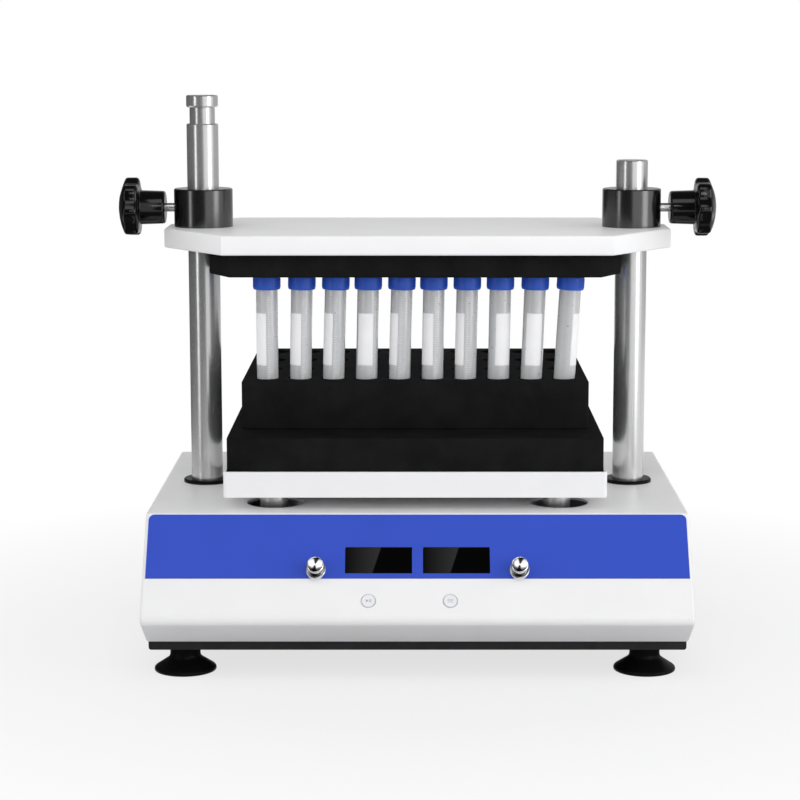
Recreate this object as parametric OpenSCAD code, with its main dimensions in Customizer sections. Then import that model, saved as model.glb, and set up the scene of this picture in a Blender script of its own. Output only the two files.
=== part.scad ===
// Multi-tube vortex mixer: a wedge-fronted base with an orbiting foam tray of tubes,
// and a foam-lined pressure plate that is clamped on two steel columns.
// Millimetres, +Z up, +X right seen from the front, -Y the front, origin under the middle of the base.

/* [Base housing] */
// Width of the housing
base_w = 415; // [390:1:460]
// Depth from the front bend to the back wall
base_d = 322; // [316:1:380]
// Height from the bottom plate to the deck
base_h = 97; // [92:0.5:120]
// Thickness of the housing's sheet
sheet_t = 2; // [1.5:0.1:2.5]
// Rounding of the side edges
edge_r = 2.4; // [1:0.1:3]
// Radius of the bend at the front of the deck
deck_bend_r = 2.5; // [1.5:0.1:4]
// Radius of the bend under the front panel
front_bend_r = 7; // [4:0.5:9]
// How far the deck starts behind the front bend
deck_setback = 55; // [48:1:58]
// Height of the deck above the front bend
bend_drop = 72; // [66:1:76]
// How far the foot of the front starts behind the front bend
tuck_setback = 40.5; // [36:0.5:46]
// Width of the return flange round the open bottom
flange_w = 14; // [12:0.5:18]
// Thickness of the bottom plate
bottom_t = 7; // [5:0.5:8]
// How far the bottom plate sits inside the housing's outline
bottom_inset = 1.8; // [1:0.1:3]

/* [Feet] */
// Height of a foot under the bottom plate
foot_h = 21.5; // [18:0.5:30]
// Diameter of a foot's dish
foot_d = 48; // [40:0.5:54]
// Diameter of a foot's neck
foot_neck_d = 23.4; // [20:0.2:30]
// Height of the dish's rim
foot_rim_h = 2.4; // [1.5:0.1:4]
// Height at which the dish's slope meets the neck
foot_slope_h = 10.6; // [9:0.1:12]
// Depth of the hollow under the dish
foot_hollow = 3; // [1:0.1:5]
// Distance from the housing's left side to a left foot's axis
foot_in_left = 27.5; // [26:0.5:42]
// Distance from the housing's right side to a right foot's axis
foot_in_right = 31.5; // [26:0.5:42]
// Distance from the front bend to the front feet
foot_front = 66; // [62:1:80]
// Distance from the back wall to the rear feet
foot_back = 42; // [34:1:60]
// Diameter of the screw that holds a foot
foot_screw_d = 6; // [4:0.5:8]

/* [Columns] */
// Distance between the columns
column_spacing = 344.4; // [336:0.2:350]
// Diameter of a column
column_d = 25.4; // [22:0.2:28]
// Distance from the front bend to the columns
column_setback = 186; // [180:1:192]
// Height of the left column above the deck
left_column_h = 313.5; // [305:0.5:340]
// Height of the right column above the deck
right_column_h = 262; // [250:0.5:275]
// Height of the left column's head
head_h = 9.8; // [6:0.2:14]
// Height of the neck below the head
neck_h = 12.8; // [11:0.2:16]
// Diameter of the neck
neck_d = 20.3; // [18:0.1:21.5]
// Outside diameter of the ring at a column's foot
ring_d = 38; // [34:0.5:44]
// Height of the ring at a column's foot
ring_h = 2.8; // [2:0.1:5]
// Gap between a column and its hole in the deck
column_hole_gap = 0.6; // [0.3:0.1:1.5]
// Diameter of the screw under a column
column_screw_d = 10; // [8:0.5:12]

/* [Front panel] */
// Height of the blue overlay along the slope
overlay_l = 53.2; // [52.2:0.1:54]
// Distance from the deck's edge to the overlay
overlay_top = 1.4; // [1.3:0.1:2]
// Distance from the housing's side to the overlay
overlay_side = 2.6; // [2.5:0.1:6]
// Thickness of the overlay
overlay_t = 0.5; // [0.3:0.1:0.8]
// Rounding of the overlay's upper corners
overlay_corner_r = 4.5; // [2:0.5:8]
// Width of a display window
window_w = 50.3; // [44:0.1:52]
// Height of a display window
window_h = 21.4; // [18:0.1:24]
// Distance between the middles of the windows
window_spacing = 58.8; // [56:0.1:62]
// Distance from the deck's edge to the middle of the windows, along the slope
window_down = 39.6; // [37:0.1:40.5]
// Gap round a window in its opening
window_gap = 0.15; // [0.1:0.05:0.3]
// Distance between the encoder knobs
encoder_spacing = 153.4; // [150:0.2:158]
// Distance from the deck's edge to the encoder knobs, along the slope
encoder_down = 48.2; // [44:0.1:49]
// Diameter of an encoder knob's foot
encoder_foot_d = 15.4; // [13.8:0.1:15.6]
// Diameter of an encoder knob's face
encoder_face_d = 12.6; // [10:0.1:13.4]
// Height of an encoder knob
encoder_h = 11; // [8:0.1:12]
// Diameter of an encoder's shaft
encoder_shaft_d = 6; // [5:0.1:6.4]
// Diameter of an encoder's threaded bush
encoder_bush_d = 8; // [7.6:0.1:9]
// Diameter of a push button
button_d = 10.6; // [10:0.1:13]
// Sideways place of the left button
button_left_x = -36.8; // [-40:0.1:-33]
// Sideways place of the right button
button_right_x = 24.6; // [21:0.1:28]
// Distance from the deck's edge to the buttons, along the slope
button_down = 72.8; // [71.5:0.1:73]
// Travel of a push button
button_travel = 0.8; // [0.4:0.1:1]
// Gap round a button in its hole
button_gap = 0.35; // [0.3:0.05:0.5]
// How far a button stands proud of the panel
button_proud = 0.4; // [0.2:0.1:0.8]

/* [Pressure plate] */
// Length of the pressure plate
plate_l = 403.4; // [398:0.2:410]
// Depth of the pressure plate
plate_w = 186.4; // [180:0.2:200]
// Height of the plate's folded edge
plate_h = 15.3; // [13:0.1:20]
// Thickness of the plate's sheet
plate_t = 3; // [2:0.1:4]
// Length of a cut corner along the plate
corner_l = 51; // [46:0.5:56]
// Length of a cut corner across the plate
corner_w = 71; // [66:0.5:74]
// Height of the plate's lower edge above the deck, clamped
plate_rest = 193.4; // [191.5:0.1:200]
// How far the plate lifts before its left clamp reaches the neck
plate_lift = 72.5; // [60:0.5:73]
// How far the upper foam pad's ends stop short of the columns' axes
pad_inset = 10.7; // [8:0.1:14]
// Depth of the upper foam pad
pad_w = 170; // [160:0.5:172]
// Length of the pad's cut corner along the plate
pad_corner_l = 17; // [12:0.5:22]
// Length of the pad's cut corner across the plate
pad_corner_w = 31; // [24:0.5:40]
// Sideways place of the pad's middle
pad_x = -1.8; // [-2.4:0.1:2.4]
// Gap between the pad and the tallest cap
pad_gap = 0.9; // [0.8:0.1:1.5]
// Gap round a column in the pad
pad_column_gap = 1; // [0.6:0.1:2]
// Outside diameter of a collar
collar_d = 47; // [44:0.2:52]
// Height of a collar
collar_h = 30.5; // [27:0.5:38]
// Running clearance between a collar and its column, on the radius
collar_gap = 0.06; // [0.03:0.01:0.1]

/* [Clamp knobs] */
// Diameter of a clamp knob's head over its lobes
knob_d = 47.8; // [42:0.2:52]
// Thickness of a clamp knob's head
knob_t = 11.8; // [10:0.2:14]
// Height of the dome on a clamp knob's head
dome_h = 5.3; // [4:0.1:6]
// Number of lobes
knob_lobes = 7; // [6:1:9]
// Depth of the hollows between the lobes
lobe_depth = 3.2; // [2:0.2:5]
// Turn of the left knob's lobes about its axis
knob_turn_left = 6; // [0:1:50]
// Turn of the right knob's lobes about its axis
knob_turn_right = 14; // [0:1:50]
// Diameter of a clamp knob's hub at the head
hub_d = 27.6; // [24:0.2:30]
// Diameter of a clamp knob's hub at its end
hub_end_d = 26.4; // [22:0.2:28]
// Length of a clamp knob's hub
hub_l = 20.2; // [16:0.2:26]
// Bare length of stud between the collar and the hub
stud_bare = 7; // [6:0.2:14]
// Diameter of the stud
stud_d = 7; // [6:0.1:9]
// Pitch of the stud's thread
stud_pitch = 1.25; // [1:0.05:1.5]
// Turns from clamped to free
stud_turns = 2; // [1:1:3]
// Length of the soft tip that presses on the column
tip_l = 4; // [3:0.1:5]
// Gap between a tip and its column when clamped
tip_gap = 0.3; // [0.3:0.05:0.6]

/* [Tray] */
// Width of the tray
tray_w = 294.3; // [290:0.1:300]
// Depth of the tray
tray_d = 245; // [238:0.5:250]
// Height of the tray's wall
tray_h = 19.8; // [16:0.1:24]
// Height of the tray above the deck
tray_lift = 10.4; // [8:0.1:14]
// Thickness of the tray's walls
tray_wall = 2; // [1.5:0.1:3]
// Thickness of the tray's floor
tray_floor = 3; // [2.6:0.1:4]
// Rounding of the tray's upright corners
tray_r = 3; // [2.2:0.1:5]
// Gap between the lower foam block and the tray's walls
block_gap = 0.1; // [0.05:0.05:0.5]
// Height of the lower foam block
block_h = 42.4; // [36:0.1:46]
// Length of the block's cut corners along the front
block_corner_l = 12; // [10:0.5:18]
// Length of the block's cut corners along the side
block_corner_w = 9; // [7:0.5:14]
// Diameter of a tray post
post_d = 21.6; // [18:0.2:26]
// Distance between the posts, sideways
post_x = 221; // [214:0.5:228]
// Distance between the posts, front to back
post_y = 176; // [170:0.5:182]
// Diameter of a post's hole in the deck
post_hole_d = 45.6; // [40:0.2:50]

/* [Tubes and rack] */
// Diameter of a tube
tube_d = 17; // [15:0.1:17.4]
// Length of a tube with its cap
tube_l = 119; // [112:0.2:124]
// Wall of a tube
tube_wall = 1.1; // [0.8:0.1:1.6]
// Length of a tube's pointed end
tube_cone_l = 22; // [16:0.5:26]
// Diameter of a tube's rounded tip
tube_tip_d = 5; // [4:0.1:7]
// Diameter of a cap
cap_d = 21.8; // [20:0.1:24]
// Height of a cap
cap_h = 11; // [9:0.1:20]
// Thickness of a cap's top
cap_t = 1.6; // [1.2:0.1:2.4]
// Number of tubes in a row
tube_count = 10; // [6:1:10]
// Distance between tubes in a row
tube_pitch = 26; // [25:0.1:26.6]
// Number of rows of sockets
socket_rows = 4; // [2:1:5]
// Distance between the rows
row_pitch = 51; // [40:0.1:51.2]
// Diameter of a socket in the rack
socket_d = 18.8; // [18.4:0.1:20]
// Width of the rack
rack_w = 271.4; // [266:0.2:276]
// Height of the rack
rack_h = 37.7; // [32:0.1:44]
// Distance from the rack's ends to its outer rows
rack_margin = 22; // [16:0.5:26]
// Distance from the columns to the front row
front_row = 55.2; // [53:0.1:58]

/* [Drive] */
// Diameter of the tray's orbit
orbit_d = 3.6; // [2:0.1:5]
// Thickness of the carrier plate
carrier_t = 10; // [8:0.5:12]
// Width of the carrier plate
carrier_w = 252; // [248:1:262]
// Depth of the carrier plate
carrier_d = 206; // [202:1:214]
// Height of the carrier plate's underside above the bottom plate
carrier_rest = 66; // [62:0.5:70]
// Diameter of the motor
motor_d = 78; // [60:1:90]
// Height of the motor
motor_h = 40; // [34:0.5:44]
// Diameter of the motor's spindle
spindle_d = 10; // [8:0.1:12]
// Diameter of the eccentric hub
hub_drive_d = 34; // [28:0.5:40]
// Diameter of the eccentric pin
drive_pin_d = 12; // [10:0.1:14]
// Outside diameter of the drive bearing
drive_bearing_d = 28; // [24:0.5:34]
// Radius of the counterweight
weight_r = 52; // [44:0.5:58]
// Thickness of the counterweight
weight_t = 9; // [6:0.5:9]
// Distance between the idler cranks, sideways
idler_x = 160; // [154:1:166]
// Distance between the idler cranks, front to back
idler_y = 116; // [110:1:122]
// Diameter of an idler's journal
journal_d = 12; // [10:0.1:14]
// Diameter of an idler's pin
idler_pin_d = 10; // [8:0.1:11]
// Outside diameter of an idler bearing
idler_bearing_d = 22; // [18:0.5:26]
// Diameter of an idler block
idler_block_d = 30; // [26:0.5:34]
// Running clearance of shafts and pins, on the radius
run_gap = 0.04; // [0.02:0.01:0.1]
// Gap between parts that pass each other
pass_gap = 0.5; // [0.4:0.1:1]

/* [Rear] */
// Sideways place of the power inlet
inlet_x = -132; // [-140:1:-120]
// Width of the power inlet's opening
inlet_w = 28; // [26:0.5:32]
// Height of the power inlet's opening
inlet_h = 21; // [19:0.5:24]
// Sideways place of the power switch
switch_x = -84; // [-96:1:-80]
// Width of the power switch's opening
switch_w = 22; // [18:0.5:24]
// Height of the power switch's opening
switch_h = 28; // [26:0.5:32]
// Height of the inlet and the switch above the bottom plate
rear_up = 40; // [30:0.5:50]
// How far the rear fittings stand out from the back wall
rear_proud = 2.5; // [2:0.1:4]
// Swing of the power switch
rocker_swing = 16; // [10:1:18]
// Number of vent slots in the back wall
vent_count = 11; // [6:1:12]
// Distance between vent slots
vent_pitch = 9; // [8:0.5:12]
// Width of a vent slot
vent_w = 4; // [3:0.5:5]
// Height of a vent slot
vent_h = 34; // [20:1:40]
// Sideways place of the vents' middle
vent_x = 85; // [80:1:90]

/* [Hidden] */
$fn = 64;

// Overcut that keeps cutting faces apart
eps = 1;
// Steps in a rounded profile corner
arc_steps = 6;
// Steps in the rounding of the housing's side edges
edge_steps = 3;
// Small edge break on turned and moulded parts
edge_break = 0.8;
// Head diameter of a screw for each millimetre of thread
head_ratio = 1.8;
// Share of a screw's head that its hexagon socket takes
socket_share = 0.6;

// Levels
bottom_z = foot_h;
inside_z = foot_h + bottom_t;
deck_z = inside_z + base_h;
plate_z = deck_z + plate_rest;
plate_top = plate_z + plate_h;
collar_mid = plate_top + collar_h / 2;
tray_z = deck_z + tray_lift;
block_z = tray_z + tray_floor;
rack_z = block_z + block_h;
pad_z = rack_z + tube_l + pad_gap;
pad_top = plate_top - plate_t;
pad_h = pad_top - pad_z;
carrier_z = inside_z + carrier_rest;
carrier_top = carrier_z + carrier_t;
rear_z = inside_z + rear_up;

// Places along the depth
front_y = -(base_d + rear_proud) / 2;
back_y = front_y + base_d;
column_y = front_y + column_setback;
deck_front_y = front_y + deck_setback;
tuck_y = front_y + tuck_setback;
front_row_y = column_y - front_row;
rack_front = front_row_y - rack_margin;
rack_d = (socket_rows - 1) * row_pitch + 2 * rack_margin;

column_x = column_spacing / 2;
column_r = column_d / 2;
pad_l = column_spacing - 2 * pad_inset;
pin_x = -orbit_d / 2;
panel_turn = atan2(bend_drop, deck_setback);

// Housing outline seen from the side, from the back foot round to the front foot
outline = [[back_y, inside_z], [back_y, deck_z], [deck_front_y, deck_z],
    [front_y, deck_z - bend_drop], [tuck_y, inside_z]];
outline_r = [0, deck_bend_r, deck_bend_r, front_bend_r, 0];

function unit(v) = v / norm(v);
function left_of(v) = [-v[1], v[0]];
function turned(v, w) = [v[0] * cos(w) - v[1] * sin(w), v[0] * sin(w) + v[1] * cos(w)];
function wrapped(list, i) = list[(i + len(list)) % len(list)];
function edge_normal(points, i) = left_of(unit(wrapped(points, i + 1) - wrapped(points, i)));

// Outline moved inwards by a distance
function inset(points, d) = [for (i = [0 : len(points) - 1])
    let (n0 = edge_normal(points, i - 1), n1 = edge_normal(points, i))
    points[i] + d * (n0 + n1) / (1 + n0 * n1)];

// Arc that rounds the corner p between the directions a and b
function corner_arc(p, a, b, r) =
    let (half = acos(a * b) / 2, mid = p + unit(a + b) * r / sin(half), from = p + a * r / tan(half) - mid)
    [for (k = [0 : arc_steps]) mid + turned(from, sign(cross(b, a)) * (180 - 2 * half) * k / arc_steps)];

// Outline with its corners replaced by arcs
function rounded(points, radii) = [for (i = [0 : len(points) - 1])
    let (p = points[i], a = unit(wrapped(points, i - 1) - p), b = unit(wrapped(points, i + 1) - p))
    each radii[i] == 0 ? [p] : corner_arc(p, a, b, radii[i])];

function rounded_outline(d) = rounded(inset(outline, d), [for (r = outline_r) max(r - d, 0)]);

// Rectangle with its four corners cut off
function octagon(l, w, cut_l, cut_w) = [[l / 2, w / 2 - cut_w], [l / 2 - cut_l, w / 2],
    [cut_l - l / 2, w / 2], [-l / 2, w / 2 - cut_w], [-l / 2, cut_w - w / 2],
    [cut_l - l / 2, -w / 2], [l / 2 - cut_l, -w / 2], [l / 2, cut_w - w / 2]];

module along_x(points, width) {
    translate([-width / 2, 0, 0]) rotate([90, 0, 90]) linear_extrude(width) polygon(points);
}

// Frame of the front panel: y up the slope, z out of the panel, a distance down from the deck's edge
module on_panel(x, down) {
    translate([x, deck_front_y, deck_z]) rotate([panel_turn, 0, 0]) translate([0, -down, 0]) children();
}

module block(size, z = 0) {
    translate([-size[0] / 2, -size[1] / 2, z]) cube(size);
}

// Cylinder from z to z + h
module disc(d, h, z = 0) {
    translate([0, 0, z]) cylinder(d = d, h = h);
}

// Cylinder that cuts through a plate from z to z + h
module drill(d, h, z = 0) {
    translate([0, 0, z - eps]) cylinder(d = d, h = h + 2 * eps);
}

// Cylinder with its upper edge broken
module capped(d, h, z = 0) {
    translate([0, 0, z]) rotate_extrude()
        polygon([[0, 0], [d / 2, 0], [d / 2, h - edge_break], [d / 2 - edge_break, h], [0, h]]);
}

module at_corners(x, y) {
    for (sx = [-1, 1], sy = [-1, 1]) translate([sx * x / 2, sy * y / 2, 0]) children();
}

// Screw with its head's underside at z = 0 and its thread upwards
module screw(d, l, head_d, head_h) {
    disc(d, l);
    difference() {
        disc(head_d, head_h, -head_h);
        translate([0, 0, -head_h - eps]) cylinder(d = head_d / 2, h = head_h * socket_share + eps, $fn = 6);
    }
}

module at_columns() {
    for (s = [-1, 1]) translate([s * column_x, column_y, 0]) children();
}

module at_posts() {
    translate([0, column_y, 0]) at_corners(post_x, post_y) children();
}

module at_idlers() {
    translate([0, column_y, 0]) at_corners(idler_x, idler_y) children();
}

// The tray and all that rides with it stand at the left end of the orbit
module riding() {
    translate([pin_x, 0, 0]) children();
}

module at_windows() {
    for (s = [-1, 1]) on_panel(s * window_spacing / 2, window_down) children();
}

module at_encoders() {
    for (s = [-1, 1]) on_panel(s * encoder_spacing / 2, encoder_down) children();
}

module at_buttons() {
    for (x = [button_left_x, button_right_x]) on_panel(x, button_down) children();
}

// Base housing
housing_screw_d = 4;
housing_screw_x = base_w / 2 - flange_w / 2 - sheet_t;
housing_screw_in = 24;
housing_screw_y = [tuck_y + housing_screw_in, (tuck_y + back_y) / 2, back_y - housing_screw_in];
window_hole = [window_w + 2 * window_gap, window_h + 2 * window_gap, 4 * sheet_t];

module at_housing_screws() {
    for (sx = [-1, 1], y = housing_screw_y) translate([sx * housing_screw_x, y, 0]) children();
}

module housing_skin() {
    hull() for (k = [0 : edge_steps])
        along_x(rounded_outline(edge_r * (1 - sin(90 * k / edge_steps))),
            base_w - 2 * edge_r * (1 - cos(90 * k / edge_steps)));
}

module rear_hole(x, w, h) {
    translate([x, back_y, rear_z]) cube([w, 4 * sheet_t, h], center = true);
}

module housing() color("whitesmoke") difference() {
    housing_skin();
    along_x(rounded_outline(sheet_t), base_w - 2 * sheet_t);
    translate([-base_w / 2 + flange_w, tuck_y + flange_w, inside_z - eps])
        cube([base_w - 2 * flange_w, back_y - tuck_y - 2 * flange_w, sheet_t + 2 * eps]);
    at_posts() drill(post_hole_d, sheet_t, deck_z - sheet_t);
    at_columns() drill(column_d + 2 * column_hole_gap, sheet_t, deck_z - sheet_t);
    at_windows() block(window_hole, -2 * sheet_t);
    at_encoders() drill(encoder_bush_d, sheet_t, -sheet_t);
    at_buttons() drill(button_d + 2 * button_gap, sheet_t, -sheet_t);
    rear_hole(inlet_x, inlet_w, inlet_h);
    rear_hole(switch_x, switch_w, switch_h);
    for (k = [0 : vent_count - 1])
        rear_hole(vent_x + (k - (vent_count - 1) / 2) * vent_pitch, vent_w, vent_h);
    at_housing_screws() drill(housing_screw_d, sheet_t, inside_z);
}

// Bottom plate, its feet and fasteners
foot_x = [foot_in_left - base_w / 2, base_w / 2 - foot_in_right];
foot_y = [front_y + foot_front, back_y - foot_back];
foot_socket = 9;
foot_r = foot_d / 2;
foot_neck_r = foot_neck_d / 2;
foot_bend = 5;
foot_lip = 3.5;
bottom_edge = 2;
bottom_side = base_w / 2 - bottom_inset;
bottom_outline = rounded(
    [[-bottom_side, 0], [bottom_side, 0], [bottom_side, bottom_t], [-bottom_side, bottom_t]],
    [bottom_edge, bottom_edge, 0, 0]);

// Half section of a foot: rim, sloped dish and a bend into the neck
foot_section = rounded([[0, 0], [foot_r, 0], [foot_r, foot_rim_h], [foot_neck_r, foot_slope_h],
    [foot_neck_r, foot_h], [0, foot_h]], [0, foot_rim_h / 3, foot_rim_h, foot_bend, 0, 0]);

module at_feet() {
    for (x = foot_x, y = foot_y) translate([x, y, 0]) children();
}

module bottom_plate() color([0.1, 0.1, 0.1]) difference() {
    translate([0, back_y - bottom_inset, bottom_z]) rotate([90, 0, 0])
        linear_extrude(back_y - tuck_y - 2 * bottom_inset) polygon(bottom_outline);
    at_feet() drill(foot_screw_d, bottom_t, bottom_z);
    at_housing_screws() drill(housing_screw_d, bottom_t, bottom_z);
    at_columns() drill(column_screw_d, bottom_t, bottom_z);
}

module suction_feet() color([0.09, 0.09, 0.09]) at_feet() difference() {
    rotate_extrude() polygon(foot_section);
    translate([0, 0, -eps]) cylinder(d1 = foot_d - 2 * foot_lip, d2 = foot_neck_d / 2, h = foot_hollow + eps);
    drill(foot_screw_d, foot_socket, foot_h - foot_socket + eps);
}

module foot_screws() color("silver") at_feet() translate([0, 0, inside_z]) mirror([0, 0, 1])
    screw(foot_screw_d, bottom_t + foot_socket - eps, foot_screw_d * head_ratio, foot_screw_d / 2);

module housing_screws() color("silver") at_housing_screws() translate([0, 0, bottom_z])
    screw(housing_screw_d, bottom_t + 2 * sheet_t, housing_screw_d * head_ratio, housing_screw_d / 2);

// Front panel: overlay, windows and the board behind them
board_depth = 10;
board_t = 1.6;
board_side = 18;
board_w = encoder_spacing + 2 * board_side;
board_top = 22;
board_l = 62;
board_mid = board_top + board_l / 2;
standoff_d = 6;
standoff_in = 10;
module_rim = 1.5;
module_h = board_depth - sheet_t;
encoder_block = 12.4;
encoder_block_h = 6;
encoder_shaft_end = 0.5;
bush_proud = 1;
bush_top = overlay_t + bush_proud;

module front_overlay() color([0.2, 0.3, 0.72]) difference() {
    on_panel(0, overlay_top + overlay_l) linear_extrude(overlay_t) polygon(rounded(
        [[overlay_side - base_w / 2, 0], [base_w / 2 - overlay_side, 0],
            [base_w / 2 - overlay_side, overlay_l], [overlay_side - base_w / 2, overlay_l]],
        [0, 0, overlay_corner_r, overlay_corner_r]));
    at_windows() block(window_hole, -sheet_t);
    at_encoders() drill(encoder_bush_d, overlay_t);
}

module display_windows() color([0.05, 0.05, 0.06]) at_windows()
    block([window_w, window_h, overlay_t + sheet_t], -sheet_t);

module display_modules() color([0.16, 0.16, 0.17]) at_windows()
    block([window_w + 2 * module_rim, window_h + 2 * module_rim, module_h], -board_depth);

module control_board() color([0.1, 0.35, 0.2]) difference() {
    on_panel(0, board_mid) block([board_w, board_l, board_t], -board_depth - board_t);
    at_encoders() drill(encoder_shaft_d + 2 * pass_gap, board_t, -board_depth - board_t);
}

module board_standoffs() color("silver") on_panel(0, board_mid)
    at_corners(board_w - standoff_in, board_l - standoff_in) disc(standoff_d, module_h, -board_depth);

module encoder_bodies() color([0.6, 0.61, 0.62]) at_encoders() difference() {
    union() {
        block([encoder_block, encoder_block, encoder_block_h], -board_depth);
        disc(encoder_bush_d, board_depth + bush_top, -board_depth);
    }
    drill(encoder_shaft_d + 2 * run_gap, board_depth + bush_top, -board_depth);
}

knob_base = overlay_t + pass_gap;
knob_band = 1.2;
knob_socket = 6;
knob_hollow = bush_top - knob_base + pass_gap;

module encoder_knob(s) {
    color([0.82, 0.83, 0.85]) on_panel(s * encoder_spacing / 2, encoder_down) difference() {
        translate([0, 0, knob_base]) rotate_extrude() polygon([[0, 0], [encoder_foot_d / 2, 0],
            [encoder_foot_d / 2, knob_band], [encoder_face_d / 2 + edge_break / 2, encoder_h - edge_break],
            [encoder_face_d / 2, encoder_h], [0, encoder_h]]);
        drill(encoder_bush_d + 2 * pass_gap, knob_hollow - eps, knob_base);
        drill(encoder_shaft_d, knob_socket - eps, knob_base);
    }
}

module encoder_shaft(s) {
    color("silver") on_panel(s * encoder_spacing / 2, encoder_down)
        disc(encoder_shaft_d, board_depth - encoder_shaft_end + knob_base + knob_socket,
            encoder_shaft_end - board_depth);
}

button_flange_w = 2;
button_flange_d = button_d + 2 * button_flange_w;
button_flange_t = 1.2;
button_stem_d = 4;
button_stem_l = 1.6;
button_under = sheet_t + button_gap;
button_stem_end = button_under + button_flange_t + button_stem_l;
tact_w = 6.2;
tact_h = board_depth - button_stem_end - button_travel - button_gap;

module button(x) {
    color([0.93, 0.93, 0.95]) on_panel(x, button_down) {
        disc(button_d, button_under + button_proud, -button_under);
        disc(button_flange_d, button_flange_t, -button_under - button_flange_t);
        disc(button_stem_d, button_stem_end, -button_stem_end);
    }
}

module button_switches() color([0.15, 0.15, 0.15]) at_buttons() block([tact_w, tact_w, tact_h], -board_depth);

// Columns
column_thread = 25;
shoulder_z = deck_z + left_column_h - head_h - neck_h;
head_soft = 1.5;

module column_left() color([0.74, 0.74, 0.75]) translate([-column_x, column_y, 0]) difference() {
    union() {
        capped(column_d, shoulder_z - inside_z, inside_z);
        disc(neck_d, neck_h + 2 * eps, shoulder_z - eps);
        translate([0, 0, shoulder_z + neck_h]) rotate_extrude() polygon([[0, 0], [column_r - head_soft, 0],
            [column_r - head_soft / 3, head_soft / 3], [column_r, head_soft], [column_r, head_h - edge_break],
            [column_r - edge_break, head_h], [0, head_h]]);
    }
    drill(column_screw_d, column_thread, inside_z);
}

module column_right() color([0.74, 0.74, 0.75]) translate([column_x, column_y, 0]) difference() {
    capped(column_d, deck_z + right_column_h - inside_z, inside_z);
    drill(column_screw_d, column_thread, inside_z);
}

module column_ring(s) {
    color([0.06, 0.06, 0.06]) translate([s * column_x, column_y, deck_z]) difference() {
        capped(ring_d, ring_h);
        drill(column_d, ring_h);
    }
}

module column_screws() color("silver") at_columns() translate([0, 0, bottom_z])
    screw(column_screw_d, bottom_t + column_thread - eps, column_screw_d * head_ratio, column_screw_d / 2);

// Pressure plate
plate_outline = octagon(plate_l, plate_w, corner_l, corner_w);
collar_screw_d = 5;
collar_screw_r = (column_d + collar_d) / 4;
collar_screw_turn = 62;
collar_thread = 14;

module at_collar_screws(s) {
    for (k = [-1, 1]) translate([s * column_x, column_y, 0])
        rotate([0, 0, (s < 0 ? 180 : 0) + k * collar_screw_turn])
            translate([collar_screw_r, 0, 0]) children();
}

module pressure_plate() color("whitesmoke") difference() {
    translate([0, column_y, plate_z]) linear_extrude(plate_h) polygon(plate_outline);
    translate([0, column_y, plate_z - eps]) linear_extrude(plate_h - plate_t + eps)
        polygon(inset(plate_outline, plate_t));
    at_columns() drill(column_d + 2 * collar_gap, plate_t, pad_top);
    for (s = [-1, 1]) at_collar_screws(s) drill(collar_screw_d, plate_t, pad_top);
}

module upper_foam_pad() color([0.08, 0.08, 0.08]) difference() {
    translate([pad_x, column_y, pad_z]) linear_extrude(pad_h)
        polygon(octagon(pad_l, pad_w, pad_corner_l, pad_corner_w));
    at_columns() drill(column_d + 2 * pad_column_gap, pad_h, pad_z);
}

module collar(s) {
    color([0.07, 0.07, 0.07]) difference() {
        translate([s * column_x, column_y, 0]) capped(collar_d, collar_h, plate_top);
        translate([s * column_x, column_y, 0]) drill(column_d + 2 * collar_gap, collar_h, plate_top);
        at_collar_screws(s) drill(collar_screw_d, collar_thread - eps, plate_top);
        clamp_axis(s) cylinder(d = stud_d + 2 * run_gap, h = collar_d);
    }
}

module collar_screws() color("silver") for (s = [-1, 1]) at_collar_screws(s) translate([0, 0, pad_top])
    screw(collar_screw_d, plate_t + collar_thread - eps, collar_screw_d * head_ratio, collar_screw_d / 2);

// Clamp knobs: z runs outwards from the column's axis
tip_start = column_r + tip_gap;
stud_start = tip_start + tip_l;
hub_start = collar_d / 2 + stud_bare;
head_start = hub_start + hub_l;
stud_grip = 14;
tip_slack = 0.6;
lobe_steps = 10;
knob_points = knob_lobes * lobe_steps;
knob_crown = 1.6;
dome_r = knob_d / 2 - lobe_depth - 2 * knob_crown;
dome_steps = 6;
dome_ball = (dome_r * dome_r + dome_h * dome_h) / (2 * dome_h);
dome_half = asin(dome_r / dome_ball);
dome_section = concat([[0, -eps], [dome_r, -eps]],
    [for (k = [0 : dome_steps - 1]) let (w = dome_half * (1 - k / dome_steps))
        dome_ball * [sin(w), cos(w)] - [0, dome_ball - dome_h]],
    [[0, dome_h]]);

function lobe_reach(d, k) = d / 2 - lobe_depth * pow(sin(180 * k / lobe_steps), 2);
function knob_outline(d) = [for (k = [0 : knob_points - 1])
    lobe_reach(d, k) * [cos(360 * k / knob_points), sin(360 * k / knob_points)]];

module clamp_axis(s) {
    translate([s * column_x, column_y, collar_mid]) rotate([0, s * 90, 0]) children();
}

module clamp_tip(s) {
    color("goldenrod") clamp_axis(s) disc(stud_d - tip_slack, tip_l, tip_start);
}

module clamp_stud(s) {
    color("silver") clamp_axis(s) disc(stud_d, hub_start + stud_grip - stud_start, stud_start);
}

module clamp_knob(s) {
    turn = s < 0 ? knob_turn_left : knob_turn_right;
    color([0.06, 0.06, 0.06]) clamp_axis(s) rotate([0, 0, turn]) difference() {
        union() {
            translate([0, 0, hub_start]) cylinder(d1 = hub_end_d, d2 = hub_d, h = hub_l);
            translate([0, 0, head_start]) linear_extrude(knob_t - knob_crown) polygon(knob_outline(knob_d));
            translate([0, 0, head_start]) linear_extrude(knob_t)
                polygon(knob_outline(knob_d - 2 * knob_crown));
            translate([0, 0, head_start + knob_t]) rotate_extrude() polygon(dome_section);
        }
        drill(stud_d, stud_grip - eps, hub_start);
    }
}

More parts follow.
